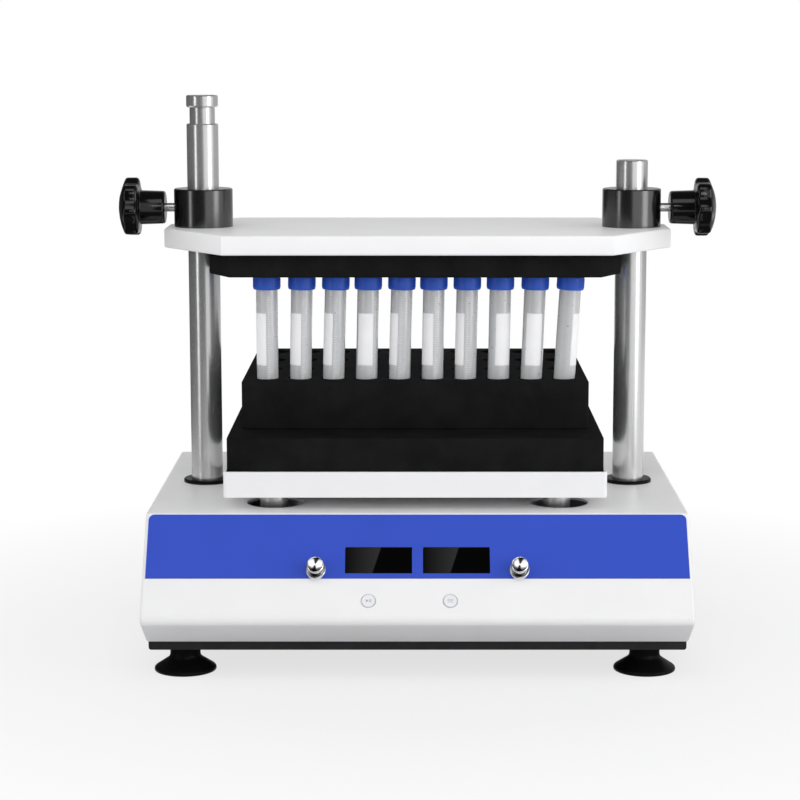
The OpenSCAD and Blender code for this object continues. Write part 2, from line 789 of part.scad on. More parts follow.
// Tray, foam and tubes
post_screw_d = 6;
post_thread = 14;
post_head_d = 10;
post_head_h = 2;
post_l = tray_z - carrier_top;
block_w = tray_w - 2 * tray_wall - 2 * block_gap;
block_d = tray_d - 2 * tray_wall - 2 * block_gap;

module tray_pan() color("whitesmoke") riding() difference() {
    translate([0, column_y, tray_z]) linear_extrude(tray_h) polygon(rounded(
        [[-tray_w, -tray_d] / 2, [tray_w, -tray_d] / 2, [tray_w, tray_d] / 2, [-tray_w, tray_d] / 2],
        [tray_r, tray_r, tray_r, tray_r]));
    translate([0, column_y, 0]) block([tray_w - 2 * tray_wall, tray_d - 2 * tray_wall, tray_h], block_z);
    at_posts() drill(post_screw_d, tray_floor, tray_z);
    at_posts() disc(post_head_d + pass_gap, post_head_h + eps, block_z - post_head_h);
}

module lower_foam_block() color([0.1, 0.1, 0.1]) riding() translate([0, column_y, block_z])
    linear_extrude(block_h) polygon(octagon(block_w, block_d, block_corner_l, block_corner_w));

function tube_x(k) = (k - (tube_count - 1) / 2) * tube_pitch;

module foam_rack() color([0.1, 0.1, 0.1]) riding() difference() {
    translate([-rack_w / 2, rack_front, rack_z]) cube([rack_w, rack_d, rack_h]);
    for (k = [0 : tube_count - 1], j = [0 : socket_rows - 1])
        translate([tube_x(k), front_row_y + j * row_pitch, 0]) drill(socket_d, rack_h, rack_z);
}

// Each tube rests near the right side of its loose socket and leans to the right by some degrees
tube_lean = [-0.1, 1.1, 1.6, 1.2, 1.5, 0.8, 1, 1, 2, 3.3];
tube_r = tube_d / 2;
rest_gap = 0.3;
tube_rest = socket_d / 2 - tube_r - rest_gap;
tip_r = tube_tip_d / 2;
tube_rim = tube_l - cap_t;

module at_tubes() {
    for (k = [0 : tube_count - 1])
        translate([tube_x(k) + tube_rest, front_row_y, rack_z + tip_r + (rack_h - tip_r) * cos(tube_lean[k])])
            rotate([0, tube_lean[k], 0]) translate([0, 0, -rack_h]) children();
}

module tube_bodies() color([0.9, 0.92, 0.95, 0.5]) riding() at_tubes() difference() {
    rotate_extrude() polygon(concat([[0, 0]],
        [for (w = [-75 : 15 : 0]) [tip_r * cos(w), tip_r + tip_r * sin(w)]],
        [[tube_r, tube_cone_l], [tube_r, tube_rim], [0, tube_rim]]));
    rotate_extrude() polygon([[0, tip_r], [tip_r - tube_wall, tip_r], [tube_r - tube_wall, tube_cone_l],
        [tube_r - tube_wall, tube_l], [0, tube_l]]);
}

module tube_caps() color([0.15, 0.35, 0.85]) riding() at_tubes() difference() {
    capped(cap_d, cap_h, tube_l - cap_h);
    drill(tube_d, cap_h - cap_t - eps, tube_l - cap_h);
}

module tray_posts() color([0.78, 0.78, 0.79]) riding() at_posts() difference() {
    disc(post_d, post_l, carrier_top);
    drill(post_screw_d, post_thread - eps, carrier_top);
    drill(post_screw_d, post_thread - eps, tray_z - post_thread + eps);
}

module post_screws() color("silver") riding() at_posts() translate([0, 0, carrier_z])
    screw(post_screw_d, carrier_t + post_thread - 2 * eps, post_head_d, post_screw_d / 2);

module tray_screws() color("silver") riding() at_posts()
    translate([0, 0, block_z - post_head_h]) mirror([0, 0, 1])
        screw(post_screw_d, tray_floor - post_head_h + post_thread - 2 * eps, post_head_d, post_head_h);

// Drive: a motor turns an eccentric pin, and four idler cranks keep the carrier square
motor_top = inside_z + motor_h;
motor_flange_w = 9;
motor_flange_d = motor_d + 2 * motor_flange_w;
motor_flange_t = 5;
motor_bolt_d = 7;
motor_bolt_h = 8;
hub_lift = 4;
hub_z = motor_top + hub_lift;
hub_h = carrier_z - hub_lift - hub_z;
hub_web = 2;
pin_top = carrier_top - eps;
spindle_in = 20;

module motor() color([0.35, 0.36, 0.38]) translate([0, column_y, inside_z]) difference() {
    union() {
        disc(motor_flange_d, motor_flange_t);
        disc(motor_d, motor_h);
        for (k = [0 : 3]) rotate([0, 0, 45 + 90 * k]) translate([(motor_d + motor_flange_d) / 4, 0, 0])
            disc(motor_bolt_d, motor_bolt_h);
    }
    drill(spindle_d + 2 * run_gap, spindle_in, motor_h - spindle_in + eps);
}

module motor_spindle() color("silver") translate([0, column_y, 0])
    disc(spindle_d, spindle_in - pass_gap + hub_lift + hub_h - hub_web, motor_top - spindle_in + pass_gap);

module eccentric_hub() color([0.55, 0.56, 0.58]) difference() {
    union() {
        translate([0, column_y, 0]) disc(hub_drive_d, hub_h, hub_z);
        translate([pin_x, column_y, 0]) disc(drive_pin_d, pin_top - hub_z - hub_h + eps, hub_z + hub_h - eps);
    }
    translate([0, column_y, 0]) drill(spindle_d, hub_h - hub_web - eps, hub_z);
}

module counterweight() color([0.5, 0.5, 0.52]) translate([0, column_y, hub_z + hub_web]) difference() {
    disc(2 * weight_r, weight_t);
    drill(hub_drive_d, weight_t);
    translate([-hub_drive_d / 4 - 4 * weight_r, -2 * weight_r, -eps])
        cube([4 * weight_r, 4 * weight_r, weight_t + 2 * eps]);
}

module carrier_plate() color([0.7, 0.71, 0.72]) riding() difference() {
    translate([0, column_y, 0]) block([carrier_w, carrier_d, carrier_t], carrier_z);
    translate([0, column_y, 0]) drill(drive_bearing_d, carrier_t, carrier_z);
    at_idlers() drill(idler_bearing_d, carrier_t, carrier_z);
    at_posts() drill(post_screw_d, carrier_t, carrier_z);
}

module bearing(d_out, d_in) {
    difference() {
        disc(d_out, carrier_t, carrier_z);
        drill(d_in + 2 * run_gap, carrier_t, carrier_z);
    }
}

module drive_bearing() color("silver") riding() translate([0, column_y, 0])
    bearing(drive_bearing_d, drive_pin_d);

module idler_bearings() color("silver") riding() at_idlers() bearing(idler_bearing_d, idler_pin_d);

idler_h = 50;
idler_flange_w = 8;
idler_flange_d = idler_block_d + 2 * idler_flange_w;
idler_flange_t = 6;
idler_top = inside_z + idler_h;
journal_l = 38;
crank_t = 6;
crank_d = 24;
crank_z = idler_top + pass_gap;
crank_top = crank_z + crank_t;

module idler_block() {
    difference() {
        union() {
            disc(idler_block_d, idler_h);
            disc(idler_flange_d, idler_flange_t);
        }
        drill(journal_d + 2 * run_gap, journal_l, idler_h - journal_l);
    }
}

module idler_blocks() color([0.45, 0.46, 0.48]) at_idlers() translate([0, 0, inside_z]) idler_block();

module idler_crank(sx, sy) {
    color("silver") translate([sx * idler_x / 2, column_y + sy * idler_y / 2, 0]) {
        disc(journal_d, crank_top - idler_top + journal_l, idler_top - journal_l);
        disc(crank_d, crank_t, crank_z);
        riding() disc(idler_pin_d, pin_top - crank_top + eps, crank_top - eps);
    }
}

// Power supply, inlet and switch
supply_size = [44, 94, 34];
supply_x = 112;
supply_back = 16;

module power_supply() color([0.62, 0.63, 0.62])
    translate([supply_x, back_y - supply_back - supply_size[1], inside_z]) cube(supply_size);

inlet_depth = 24;
inlet_well = 16;
inlet_wall = 2.5;
pin_size = [2, 13, 4];
pin_places = [[-7, -2], [0, 2], [7, -2]];
fitting_lip = 4;

module rear_fitting(x, w, h, depth) {
    translate([x - w / 2, back_y - sheet_t - depth, rear_z - h / 2]) cube([w, depth + sheet_t, h]);
    translate([x - w / 2 - fitting_lip, back_y, rear_z - h / 2 - fitting_lip])
        cube([w + 2 * fitting_lip, rear_proud, h + 2 * fitting_lip]);
}

module power_inlet() color([0.08, 0.08, 0.08]) difference() {
    rear_fitting(inlet_x, inlet_w, inlet_h, inlet_depth);
    translate([inlet_x - inlet_w / 2 + inlet_wall, back_y - inlet_well, rear_z - inlet_h / 2 + inlet_wall])
        cube([inlet_w - 2 * inlet_wall, inlet_well + rear_proud + eps, inlet_h - 2 * inlet_wall]);
}

module inlet_pins() color("goldenrod") for (p = pin_places)
    translate([inlet_x + p[0] - pin_size[0] / 2, back_y - inlet_well, rear_z + p[1] - pin_size[2] / 2])
        cube(pin_size);

// The rocker turns on a pin across the switch, and rests with its upper half pressed in
rocker_pin_d = 3;
rocker_pin_in = 4;
rocker_depth = 20;
rocker_well = 16;
rocker_wall = 2;
rocker_w = switch_w - 2 * rocker_wall - 2 * pass_gap;
rocker_end_gap = 1.2;
rocker_half = switch_h / 2 - rocker_wall - rocker_end_gap;
rocker_taper = 1;
rocker_reach = 3.6;
rocker_crown = 1.2;

module at_rocker() {
    translate([switch_x, back_y - rocker_pin_in, rear_z]) children();
}

module switch_body() color([0.08, 0.08, 0.08]) difference() {
    rear_fitting(switch_x, switch_w, switch_h, rocker_depth);
    translate([switch_x - switch_w / 2, back_y - rocker_well, rear_z - switch_h / 2])
        translate([rocker_wall, 0, rocker_wall])
            cube([switch_w - 2 * rocker_wall, rocker_well + rear_proud + eps, switch_h - 2 * rocker_wall]);
    at_rocker() rotate([0, 90, 0]) drill(rocker_pin_d + 2 * run_gap, switch_w - 2 * eps, eps - switch_w / 2);
}

module power_rocker() color([0.55, 0.06, 0.05]) at_rocker() rotate([rocker_swing / 2, 0, 0]) {
    along_x([[-rocker_pin_in, 0], [0, rocker_taper - rocker_half], [rocker_reach, -rocker_half],
        [rocker_reach + rocker_crown, 0], [rocker_reach, rocker_half],
        [0, rocker_half - rocker_taper]], rocker_w);
    rotate([0, 90, 0]) disc(rocker_pin_d, switch_w - 2 * pass_gap, pass_gap - switch_w / 2);
}

housing();
bottom_plate();
suction_feet();
foot_screws();
housing_screws();
front_overlay();
display_windows();
display_modules();
control_board();
board_standoffs();
encoder_bodies();
button_switches();
column_left();
column_right();
column_ring(-1);  // column_ring_left
column_ring(1);  // column_ring_right
column_screws();
motor();
idler_blocks();
power_supply();
power_inlet();
inlet_pins();
switch_body();
pressure_plate();
upper_foam_pad();
collar(-1);  // collar_left
collar(1);  // collar_right
collar_screws();
clamp_tip(-1);  // clamp_tip_left
clamp_stud(-1);  // clamp_stud_left
clamp_knob(-1);  // clamp_knob_left
clamp_tip(1);  // clamp_tip_right
clamp_stud(1);  // clamp_stud_right
clamp_knob(1);  // clamp_knob_right
encoder_knob(-1);  // encoder_knob_left
encoder_shaft(-1);  // encoder_shaft_left
encoder_knob(1);  // encoder_knob_right
encoder_shaft(1);  // encoder_shaft_right
button(button_left_x);  // start_button
button(button_right_x);  // mode_button
motor_spindle();
eccentric_hub();
counterweight();
carrier_plate();
drive_bearing();
idler_bearings();
tray_posts();
post_screws();
tray_screws();
tray_pan();
lower_foam_block();
foam_rack();
tube_bodies();
tube_caps();
idler_crank(-1, -1);  // idler_crank_front_left
idler_crank(1, -1);  // idler_crank_front_right
idler_crank(-1, 1);  // idler_crank_rear_left
idler_crank(1, 1);  // idler_crank_rear_right
power_rocker();
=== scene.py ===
import math

import bmesh
import bpy
from mathutils import Matrix, Vector


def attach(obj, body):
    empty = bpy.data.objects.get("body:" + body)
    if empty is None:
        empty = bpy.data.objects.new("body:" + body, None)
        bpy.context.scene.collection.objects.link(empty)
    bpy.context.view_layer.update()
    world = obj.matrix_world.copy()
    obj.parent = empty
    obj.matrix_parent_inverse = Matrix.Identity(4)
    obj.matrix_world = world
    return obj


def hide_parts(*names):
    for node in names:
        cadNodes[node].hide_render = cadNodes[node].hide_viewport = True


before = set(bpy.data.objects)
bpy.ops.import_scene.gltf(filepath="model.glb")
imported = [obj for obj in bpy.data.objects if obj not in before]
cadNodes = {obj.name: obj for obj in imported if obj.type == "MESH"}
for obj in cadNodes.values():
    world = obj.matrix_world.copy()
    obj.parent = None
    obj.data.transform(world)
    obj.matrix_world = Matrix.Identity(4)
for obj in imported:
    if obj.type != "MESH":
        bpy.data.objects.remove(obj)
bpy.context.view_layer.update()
scene = bpy.context.scene
scene.view_settings.view_transform = "Standard"
mm = 0.001

# places shared by several pieces, in millimetres and degrees
columnX = 172.2
columnY = 23.75
deckTop = 125.5
deckEdgeY = -107.25
panelTurn = math.atan2(72, 55)  # slope of the front panel
encoderX = 76.7
encoderDown = 48.2  # down the panel from the deck's edge
blockBottom = 138.9
rackBottom = 181.3
rackTop = 219.0
frontRowY = -31.45
trayX = -1.8  # the tray stands at the left end of its orbit
tubePitch = 26.0
tubeTip = 2.5
tubeRest = 0.6  # each tube stands near the right side of its socket
tubeLeans = [-0.1, 1.1, 1.6, 1.2, 1.5, 0.8, 1.0, 1.0, 2.0, 3.3]
tubeSpins = [-47, -43, -54, -12, -60, -45, -58, 24, 3, 67]  # where each writing patch faces
tubeCount = len(tubeLeans)
sideNames = {-1: "left", 1: "right"}
panelUp = (0.0, math.cos(panelTurn), math.sin(panelTurn))
panelDown = (0.0, -math.cos(panelTurn), -math.sin(panelTurn))
panelOut = (0.0, -math.sin(panelTurn), math.cos(panelTurn))


def panelPoint(x, down, out):
    y = deckEdgeY - down * math.cos(panelTurn) - out * math.sin(panelTurn)
    z = deckTop - down * math.sin(panelTurn) + out * math.cos(panelTurn)
    return Vector((x, y, z)) * mm


def tubeX(k):
    return trayX + (k - (tubeCount - 1) / 2) * tubePitch


def tubeMatrix(k, spin=0.0):
    lean = math.radians(tubeLeans[k])
    rackHeight = rackTop - rackBottom
    pivotZ = rackBottom + tubeTip + (rackHeight - tubeTip) * math.cos(lean)
    place = Vector((tubeX(k) + tubeRest, frontRowY, pivotZ)) * mm
    return (Matrix.Translation(place) @ Matrix.Rotation(lean, 4, "Y") @
            Matrix.Translation((0, 0, -rackHeight * mm)) @ Matrix.Rotation(math.radians(spin), 4, "Z"))


print("frame loaded")


# camera
cameraSettings = {
    "place": (0.0, -1820.25, 481.5),
    "tiltDown": 8.91,
    "lens": 103.0,
    "sensor": 36.0,
    "shiftX": -0.0219,
    "clip": (0.01, 50.0),
}


def makeCamera(s):
    data = bpy.data.cameras.new("photoCamera")
    data.lens = s["lens"]
    data.sensor_width = s["sensor"]
    data.shift_x = s["shiftX"]
    data.clip_start, data.clip_end = s["clip"]
    camera = bpy.data.objects.new("photoCamera", data)
    camera.location = Vector(s["place"]) * mm
    camera.rotation_euler = (math.radians(90 - s["tiltDown"]), 0, 0)
    scene.collection.objects.link(camera)
    scene.camera = camera


makeCamera(cameraSettings)
print("camera placed")


# node helpers
def wire(tree, value, socket):
    if isinstance(value, bpy.types.NodeSocket):
        tree.links.new(value, socket)
    else:
        socket.default_value = value


def addStep(tree, kind, result, **wires):
    # one node with its inputs wired or set, written with _ for a space
    node = tree.nodes.new(kind)
    for name, value in wires.items():
        wire(tree, value, node.inputs[name.replace("_", " ")])
    return node.outputs[result]


def addMath(tree, operation, *values):
    node = tree.nodes.new("ShaderNodeMath")
    node.operation = operation
    for value, socket in zip(values, node.inputs):
        wire(tree, value, socket)
    return node.outputs["Value"]


def addDot(tree, coords, origin, direction):
    # how far a point lies from an origin along a direction
    away = tree.nodes.new("ShaderNodeVectorMath")
    away.operation = "SUBTRACT"
    along = tree.nodes.new("ShaderNodeVectorMath")
    along.operation = "DOT_PRODUCT"
    wire(tree, coords, away.inputs[0])
    wire(tree, origin, away.inputs[1])
    wire(tree, away.outputs["Vector"], along.inputs[0])
    wire(tree, direction, along.inputs[1])
    return along.outputs["Value"]


def addMix(tree, factor, first, second):
    mix = tree.nodes.new("ShaderNodeMix")
    mix.data_type = "RGBA"
    sockets = {socket.identifier: socket for socket in mix.inputs}
    for name, value in (("Factor_Float", factor), ("A_Color", first), ("B_Color", second)):
        wire(tree, value, sockets[name])
    return next(socket for socket in mix.outputs if socket.identifier == "Result_Color")


def addNoise(tree, coords, scale, detail=4.0, stretch=(1, 1, 1), roughness=0.55):
    place = addStep(tree, "ShaderNodeMapping", "Vector", Vector=coords, Scale=stretch)
    return addStep(tree, "ShaderNodeTexNoise", "Fac", Vector=place, Scale=scale, Detail=detail,
                   Roughness=roughness)


def addRamp(tree, factor, low, high, start=0.3, end=0.7):
    ramp = tree.nodes.new("ShaderNodeValToRGB")
    for element, place, colour in zip(ramp.color_ramp.elements, (start, end), (low, high)):
        element.position = place
        element.color = (*colour, 1)
    wire(tree, factor, ramp.inputs["Fac"])
    return ramp.outputs["Color"]


def addRange(tree, factor, low, high, start=0.3, end=0.7):
    return addStep(tree, "ShaderNodeMapRange", "Result", Value=factor, From_Min=start, From_Max=end,
                   To_Min=low, To_Max=high)


def addBump(tree, shader, height, strength, distance):
    bump = addStep(tree, "ShaderNodeBump", "Normal", Strength=strength, Distance=distance, Height=height)
    wire(tree, bump, shader.inputs["Normal"])


# materials
def startMaterial(name):
    mat = bpy.data.materials.new(name)
    mat.use_nodes = True
    tree = mat.node_tree
    coords = tree.nodes.new("ShaderNodeTexCoord").outputs["Object"]
    return mat, tree, tree.nodes["Principled BSDF"], coords


def setShader(shader, **values):
    names = {"metallic": "Metallic", "roughness": "Roughness", "ior": "IOR", "specular": "Specular IOR Level",
             "transmission": "Transmission Weight", "coat": "Coat Weight", "coatRoughness": "Coat Roughness",
             "anisotropic": "Anisotropic"}
    for key, value in values.items():
        shader.inputs[names[key]].default_value = value


def tint(colour, amount):
    return tuple(max(0.0, min(1.0, c * amount)) for c in colour)


def plainFinish(name, colour, roughness, spread=0.04, grain=900, bump=0.05, bumpDepth=0.00005, mottle=60,
                swing=0.15, **values):
    # a colour in faint patches, and a fine grain in its roughness and surface
    mat, tree, shader, coords = startMaterial(name)
    patches = addNoise(tree, coords, mottle)
    wire(tree, addRamp(tree, patches, tint(colour, 1 - spread), tint(colour, 1 + spread)),
         shader.inputs["Base Color"])
    fine = addNoise(tree, coords, grain, detail=3.0)
    wire(tree, addRange(tree, fine, roughness * (1 - swing), roughness * (1 + swing)), shader.inputs["Roughness"])
    addBump(tree, shader, fine, bump, bumpDepth)
    setShader(shader, **values)
    return mat


def turnedSteel(name, colour, roughness, stretch, bump=0.12, bumpDepth=0.00004, spread=0.12, metallic=1.0):
    # a metal with noise drawn out along its tool marks
    mat, tree, shader, coords = startMaterial(name)
    marks = addNoise(tree, coords, scale=60, detail=6.0, stretch=stretch, roughness=0.65)
    wire(tree, addRamp(tree, marks, tint(colour, 1 - spread), tint(colour, 1 + spread)),
         shader.inputs["Base Color"])
    wire(tree, addRange(tree, marks, roughness * (1 - 2 * spread), roughness * (1 + 2 * spread)),
         shader.inputs["Roughness"])
    addBump(tree, shader, marks, bump, bumpDepth)
    setShader(shader, metallic=metallic)
    return mat


foamLook = {
    "colour": (0.0102, 0.0102, 0.0104),
    "shades": (0.8, 1.25),
    "patches": 45,
    "cells": 1100,
    "roughness": (0.72, 0.9),
    "bump": 0.35,
    "bumpDepth": 0.0002,
    "specular": 0.02,
}


def foamFinish(name, s):
    mat, tree, shader, coords = startMaterial(name)
    cells = addStep(tree, "ShaderNodeTexVoronoi", "Distance", Vector=coords, Scale=s["cells"])
    patches = addNoise(tree, coords, s["patches"], detail=5.0)
    wire(tree, addRamp(tree, patches, *(tint(s["colour"], shade) for shade in s["shades"])),
         shader.inputs["Base Color"])
    wire(tree, addRange(tree, patches, *s["roughness"]), shader.inputs["Roughness"])
    addBump(tree, shader, cells, s["bump"], s["bumpDepth"])
    setShader(shader, specular=s["specular"])
    return mat


# dark and bright are the tones of the painted glints and painted reflections on the encoder knobs
chromeLook = {
    "dark": (0.02, 0.02, 0.022),
    "bright": (1.0, 1.0, 1.0),
    # colour of the painted dark reflection on the knob's wall; the foot and rim take the bright tone as a painted
    # highlight
    "wall": (0.05, 0.05, 0.055),
    "height": 0.012,
    "faceRadius": 0.0057,
    "footShare": (0.27, 0.3),  # shares of the height where the foot ends and the rim starts
    "rimShare": (0.6, 0.72),
    "broadFold": 2.0,
    "broadTurn": 1.92,
    "narrowFold": 6.0,
    "narrowTurn": 2.62,
    "narrowShare": 0.35,
    "contrast": 0.5,
    "wedgeRange": (0.15, 0.8),
    "grain": 900,
    "grainShare": 0.06,
    "roughness": (0.2, 0.26),
    "bump": 0.05,
    "bumpDepth": 0.00003,
    "anisotropic": 0.5,
}


def chromeFinish(name, s):
    # chrome with painted glints: light and dark wedge shapes painted in its colour round the knob's own axis, standing
    # for the reflections a turned end shows
    mat, tree, shader, coords = startMaterial(name)
    origin = panelPoint(0, encoderDown, 0)
    x = addStep(tree, "ShaderNodeSeparateXYZ", "X", Vector=coords)
    knobX = encoderX * mm
    across = addMath(tree, "WRAP", addMath(tree, "ADD", x, knobX), knobX, -knobX)
    up = addDot(tree, coords, origin, panelUp)
    angle = addMath(tree, "ARCTAN2", up, across)
    broad, narrow = (addMath(tree, "SINE", addMath(tree, "MULTIPLY_ADD", angle, s[kind + "Fold"], s[kind + "Turn"]))
                     for kind in ("broad", "narrow"))
    paintedGlints = addMath(tree, "MULTIPLY_ADD", narrow, s["narrowShare"], broad)
    level = addMath(tree, "MULTIPLY_ADD", paintedGlints, s["contrast"], 0.5)
    grain = addNoise(tree, coords, s["grain"], roughness=0.6)
    # painted highlights and painted dark reflections across the face, in wedge shapes round the axis
    face = addRamp(tree, addMath(tree, "MULTIPLY_ADD", grain, s["grainShare"], level), s["dark"], s["bright"],
                   *s["wedgeRange"])
    # painted reflection: the foot and rim are painted bright as highlights, and the wall between them is painted dark
    # for the dark room it would mirror
    out = addDot(tree, coords, origin, panelOut)
    share = addMath(tree, "DIVIDE", out, s["height"])
    foot = addRamp(tree, share, s["bright"], s["wall"], *s["footShare"])
    rim = addRamp(tree, share, s["wall"], s["bright"], *s["rimShare"])
    body = addMix(tree, addMath(tree, "GREATER_THAN", out, s["height"] / 2), foot, rim)
    away = addMath(tree, "SQRT", addMath(tree, "MULTIPLY_ADD", up, up, addMath(tree, "MULTIPLY", across, across)))
    wire(tree, addMix(tree, addMath(tree, "GREATER_THAN", away, s["faceRadius"]), face, body),
         shader.inputs["Base Color"])
    wire(tree, addRange(tree, grain, *s["roughness"]), shader.inputs["Roughness"])
    addBump(tree, shader, grain, s["bump"], s["bumpDepth"])
    setShader(shader, metallic=1.0, anisotropic=s["anisotropic"])
    return mat


# the sheen tones, width and slant describe a painted reflection on the display windows
windowLook = {
    "down": 39.6,  # millimetres down the panel to the windows' middle
    "spacing": 0.0588,
    "left": 0.00425,
    "cut": 0.02795,
    "slant": 0.308,
    "blur": 0.0004,
    "sheenWidth": 0.026,
    "sheenDark": (0.003, 0.003, 0.003),
    "sheenLight": (0.028, 0.028, 0.029),
    "glass": (0.0004, 0.0004, 0.0005, 1.0),
    "grain": 500,
    "roughness": (0.05, 0.09),
    "specular": 0.01,
}


def windowFinish(name, s):
    # smoked window with a painted sheen, standing for a reflection, over its left part, cut on a slant
    mat, tree, shader, coords = startMaterial(name)
    x = addMath(tree, "WRAP", addStep(tree, "ShaderNodeSeparateXYZ", "X", Vector=coords), s["spacing"], 0.0)
    down = addDot(tree, coords, panelPoint(0, s["down"], 0), panelDown)
    edge = addMath(tree, "MULTIPLY_ADD", down, -s["slant"], s["cut"])
    along = addMath(tree, "DIVIDE", addMath(tree, "SUBTRACT", x, s["left"]), s["sheenWidth"])
    # painted sheen: the left part's colour runs from dark to light across it, in place of a reflection
    paintedSheen = addRamp(tree, along, s["sheenDark"], s["sheenLight"], 0.0, 1.0)
    beyond = addRange(tree, addMath(tree, "SUBTRACT", x, edge), 0.0, 1.0, -s["blur"], s["blur"])
    wire(tree, addMix(tree, beyond, paintedSheen, s["glass"]), shader.inputs["Base Color"])
    fine = addNoise(tree, coords, s["grain"], detail=2.0)
    wire(tree, addRange(tree, fine, *s["roughness"]), shader.inputs["Roughness"])
    setShader(shader, specular=s["specular"])
    return mat


plainLooks = {
    "whitePaint": dict(colour=(0.87, 0.87, 0.875), roughness=0.36, spread=0.012, grain=1400, bumpDepth=0.00004,
                       mottle=25, specular=0.4),
    "blackPaint": dict(colour=(0.02, 0.02, 0.021), roughness=0.45, spread=0.15, grain=1200, bump=0.12,
                       specular=0.3),
    "blackRubber": dict(colour=(0.004, 0.004, 0.004), roughness=0.36, spread=0.2, bump=0.15, bumpDepth=0.0001,
                        specular=0.1),
    "blackMoulding": dict(colour=(0.0015, 0.0015, 0.0016), roughness=0.15, spread=0.2, grain=1500, bump=0.02,
                          bumpDepth=0.00004, specular=0.4),
    "collarBlack": dict(colour=(0.002, 0.002, 0.0021), roughness=0.2, spread=0.2, grain=1300, bump=0.04,
                        bumpDepth=0.00004, ior=1.65, specular=0.85),
    "darkPlastic": dict(colour=(0.02, 0.02, 0.021), roughness=0.5, spread=0.15, grain=1500, bump=0.2,
                        bumpDepth=0.00008),
    "blueFilm": dict(colour=(0.033, 0.08, 0.54), roughness=0.42, spread=0.03, grain=2200, bump=0.06,
                     bumpDepth=0.00003, mottle=18, specular=0.15),
    "capBlue": dict(colour=(0.023, 0.1, 0.57), roughness=0.4, spread=0.06, grain=800, bump=0.06,
                    bumpDepth=0.00004, mottle=120, specular=0.4),
    "keyWhite": dict(colour=(0.83, 0.83, 0.84), roughness=0.4, spread=0.02, grain=1500),
    "greyPaint": dict(colour=(0.13, 0.135, 0.145), roughness=0.45, spread=0.1, bump=0.2),
    "boardGreen": dict(colour=(0.012, 0.1, 0.04), roughness=0.35, spread=0.2, grain=400, bump=0.1),
    "brass": dict(colour=(0.6, 0.4, 0.14), roughness=0.28, spread=0.08, bump=0.1, metallic=1.0),
    "castIron": dict(colour=(0.16, 0.16, 0.165), roughness=0.55, spread=0.15, grain=500, bump=0.3,
                     bumpDepth=0.0002, metallic=0.9),
    "patchWhite": dict(colour=(0.88, 0.88, 0.89), roughness=0.55, spread=0.02, grain=1200),
    "tickWhite": dict(colour=(0.9, 0.9, 0.91), roughness=0.5, spread=0.03),
    "printGrey": dict(colour=(0.42, 0.42, 0.58), roughness=0.5, spread=0.05),
    "tubePlastic": dict(colour=(0.71, 0.72, 0.73), roughness=0.32, spread=0.03, grain=300, bump=0.02,
                        bumpDepth=0.00003, mottle=90, ior=1.45, transmission=0.35, coat=1.0, coatRoughness=0.06),
}
steelLooks = {
    "aluminium": dict(colour=(0.62, 0.63, 0.65), roughness=0.35, stretch=(1, 30, 30)),
    "columnSteel": dict(colour=(0.64, 0.64, 0.645), roughness=0.25, stretch=(30, 30, 0.3), bump=0.01, spread=0.05,
                        metallic=0.85),
    "fastenerSteel": dict(colour=(0.55, 0.55, 0.56), roughness=0.35, stretch=(8, 8, 8)),
    "studSteel": dict(colour=(0.6, 0.6, 0.61), roughness=0.3, stretch=(40, 3, 3), bump=0.4),
}
finishes = {name: plainFinish(name, **look) for name, look in plainLooks.items()}
finishes.update({name: turnedSteel(name, **look) for name, look in steelLooks.items()})
finishes["blackFoam"] = foamFinish("blackFoam", foamLook)
finishes["knobChrome"] = chromeFinish("knobChrome", chromeLook)
finishes["smokedWindow"] = windowFinish("smokedWindow", windowLook)
dressing = {
    "whitePaint": ["housing", "pressure_plate", "tray_pan"],
    "blackPaint": ["bottom_plate"],
    "blackRubber": ["suction_feet", "column_ring_left", "column_ring_right"],
    "fastenerSteel": ["foot_screws", "housing_screws", "board_standoffs", "column_screws", "collar_screws",
                      "post_screws", "tray_screws", "encoder_bodies", "encoder_shaft_left", "encoder_shaft_right",
                      "motor_spindle", "drive_bearing", "idler_bearings", "idler_crank_front_left",
                      "idler_crank_front_right", "idler_crank_rear_left", "idler_crank_rear_right"],
    "studSteel": ["clamp_stud_left", "clamp_stud_right"],
    "blueFilm": ["front_overlay"],
    "smokedWindow": ["display_windows"],
    "darkPlastic": ["display_modules", "button_switches", "power_inlet", "switch_body", "power_rocker"],
    "boardGreen": ["control_board"],
    "columnSteel": ["column_left", "column_right", "tray_posts"],
    "knobChrome": ["encoder_knob_left", "encoder_knob_right"],
    "greyPaint": ["motor", "idler_blocks", "power_supply"],
    "brass": ["inlet_pins", "clamp_tip_left", "clamp_tip_right"],
    "collarBlack": ["collar_left", "collar_right"],
    "blackMoulding": ["clamp_knob_left", "clamp_knob_right"],
    "blackFoam": ["upper_foam_pad", "lower_foam_block", "foam_rack"],
    "tubePlastic": ["tube_bodies"],
    "capBlue": ["tube_caps"],
    "keyWhite": ["start_button", "mode_button"],
    "aluminium": ["carrier_plate", "eccentric_hub"],
    "castIron": ["counterweight"],
}
for finish, names in dressing.items():
    for name in names:
        for slot in cadNodes[name].material_slots:
            slot.material = finishes[finish]
print("materials set on", sum(len(n) for n in dressing.values()), "solids")


# mesh helpers
def fullTurn(count):
    return [2 * math.pi * i / count for i in range(count)]


def linkMesh(name, bm, mat):
    mesh = bpy.data.meshes.new(name)
    bm.to_mesh(mesh)
    bm.free()
    mesh.materials.append(mat)
    obj = bpy.data.objects.new(name, mesh)
    scene.collection.objects.link(obj)
    return obj


def finishMesh(bm, name, finish, smoothAngle=35):
    bmesh.ops.remove_doubles(bm, verts=bm.verts, dist=1e-7)
    bmesh.ops.recalc_face_normals(bm, faces=bm.faces)
    for face in bm.faces:
        face.smooth = True
    limit = math.radians(smoothAngle)
    for edge in bm.edges:
        edge.smooth = edge.calc_face_angle(0.0) < limit
    return linkMesh(name, bm, finishes[finish])


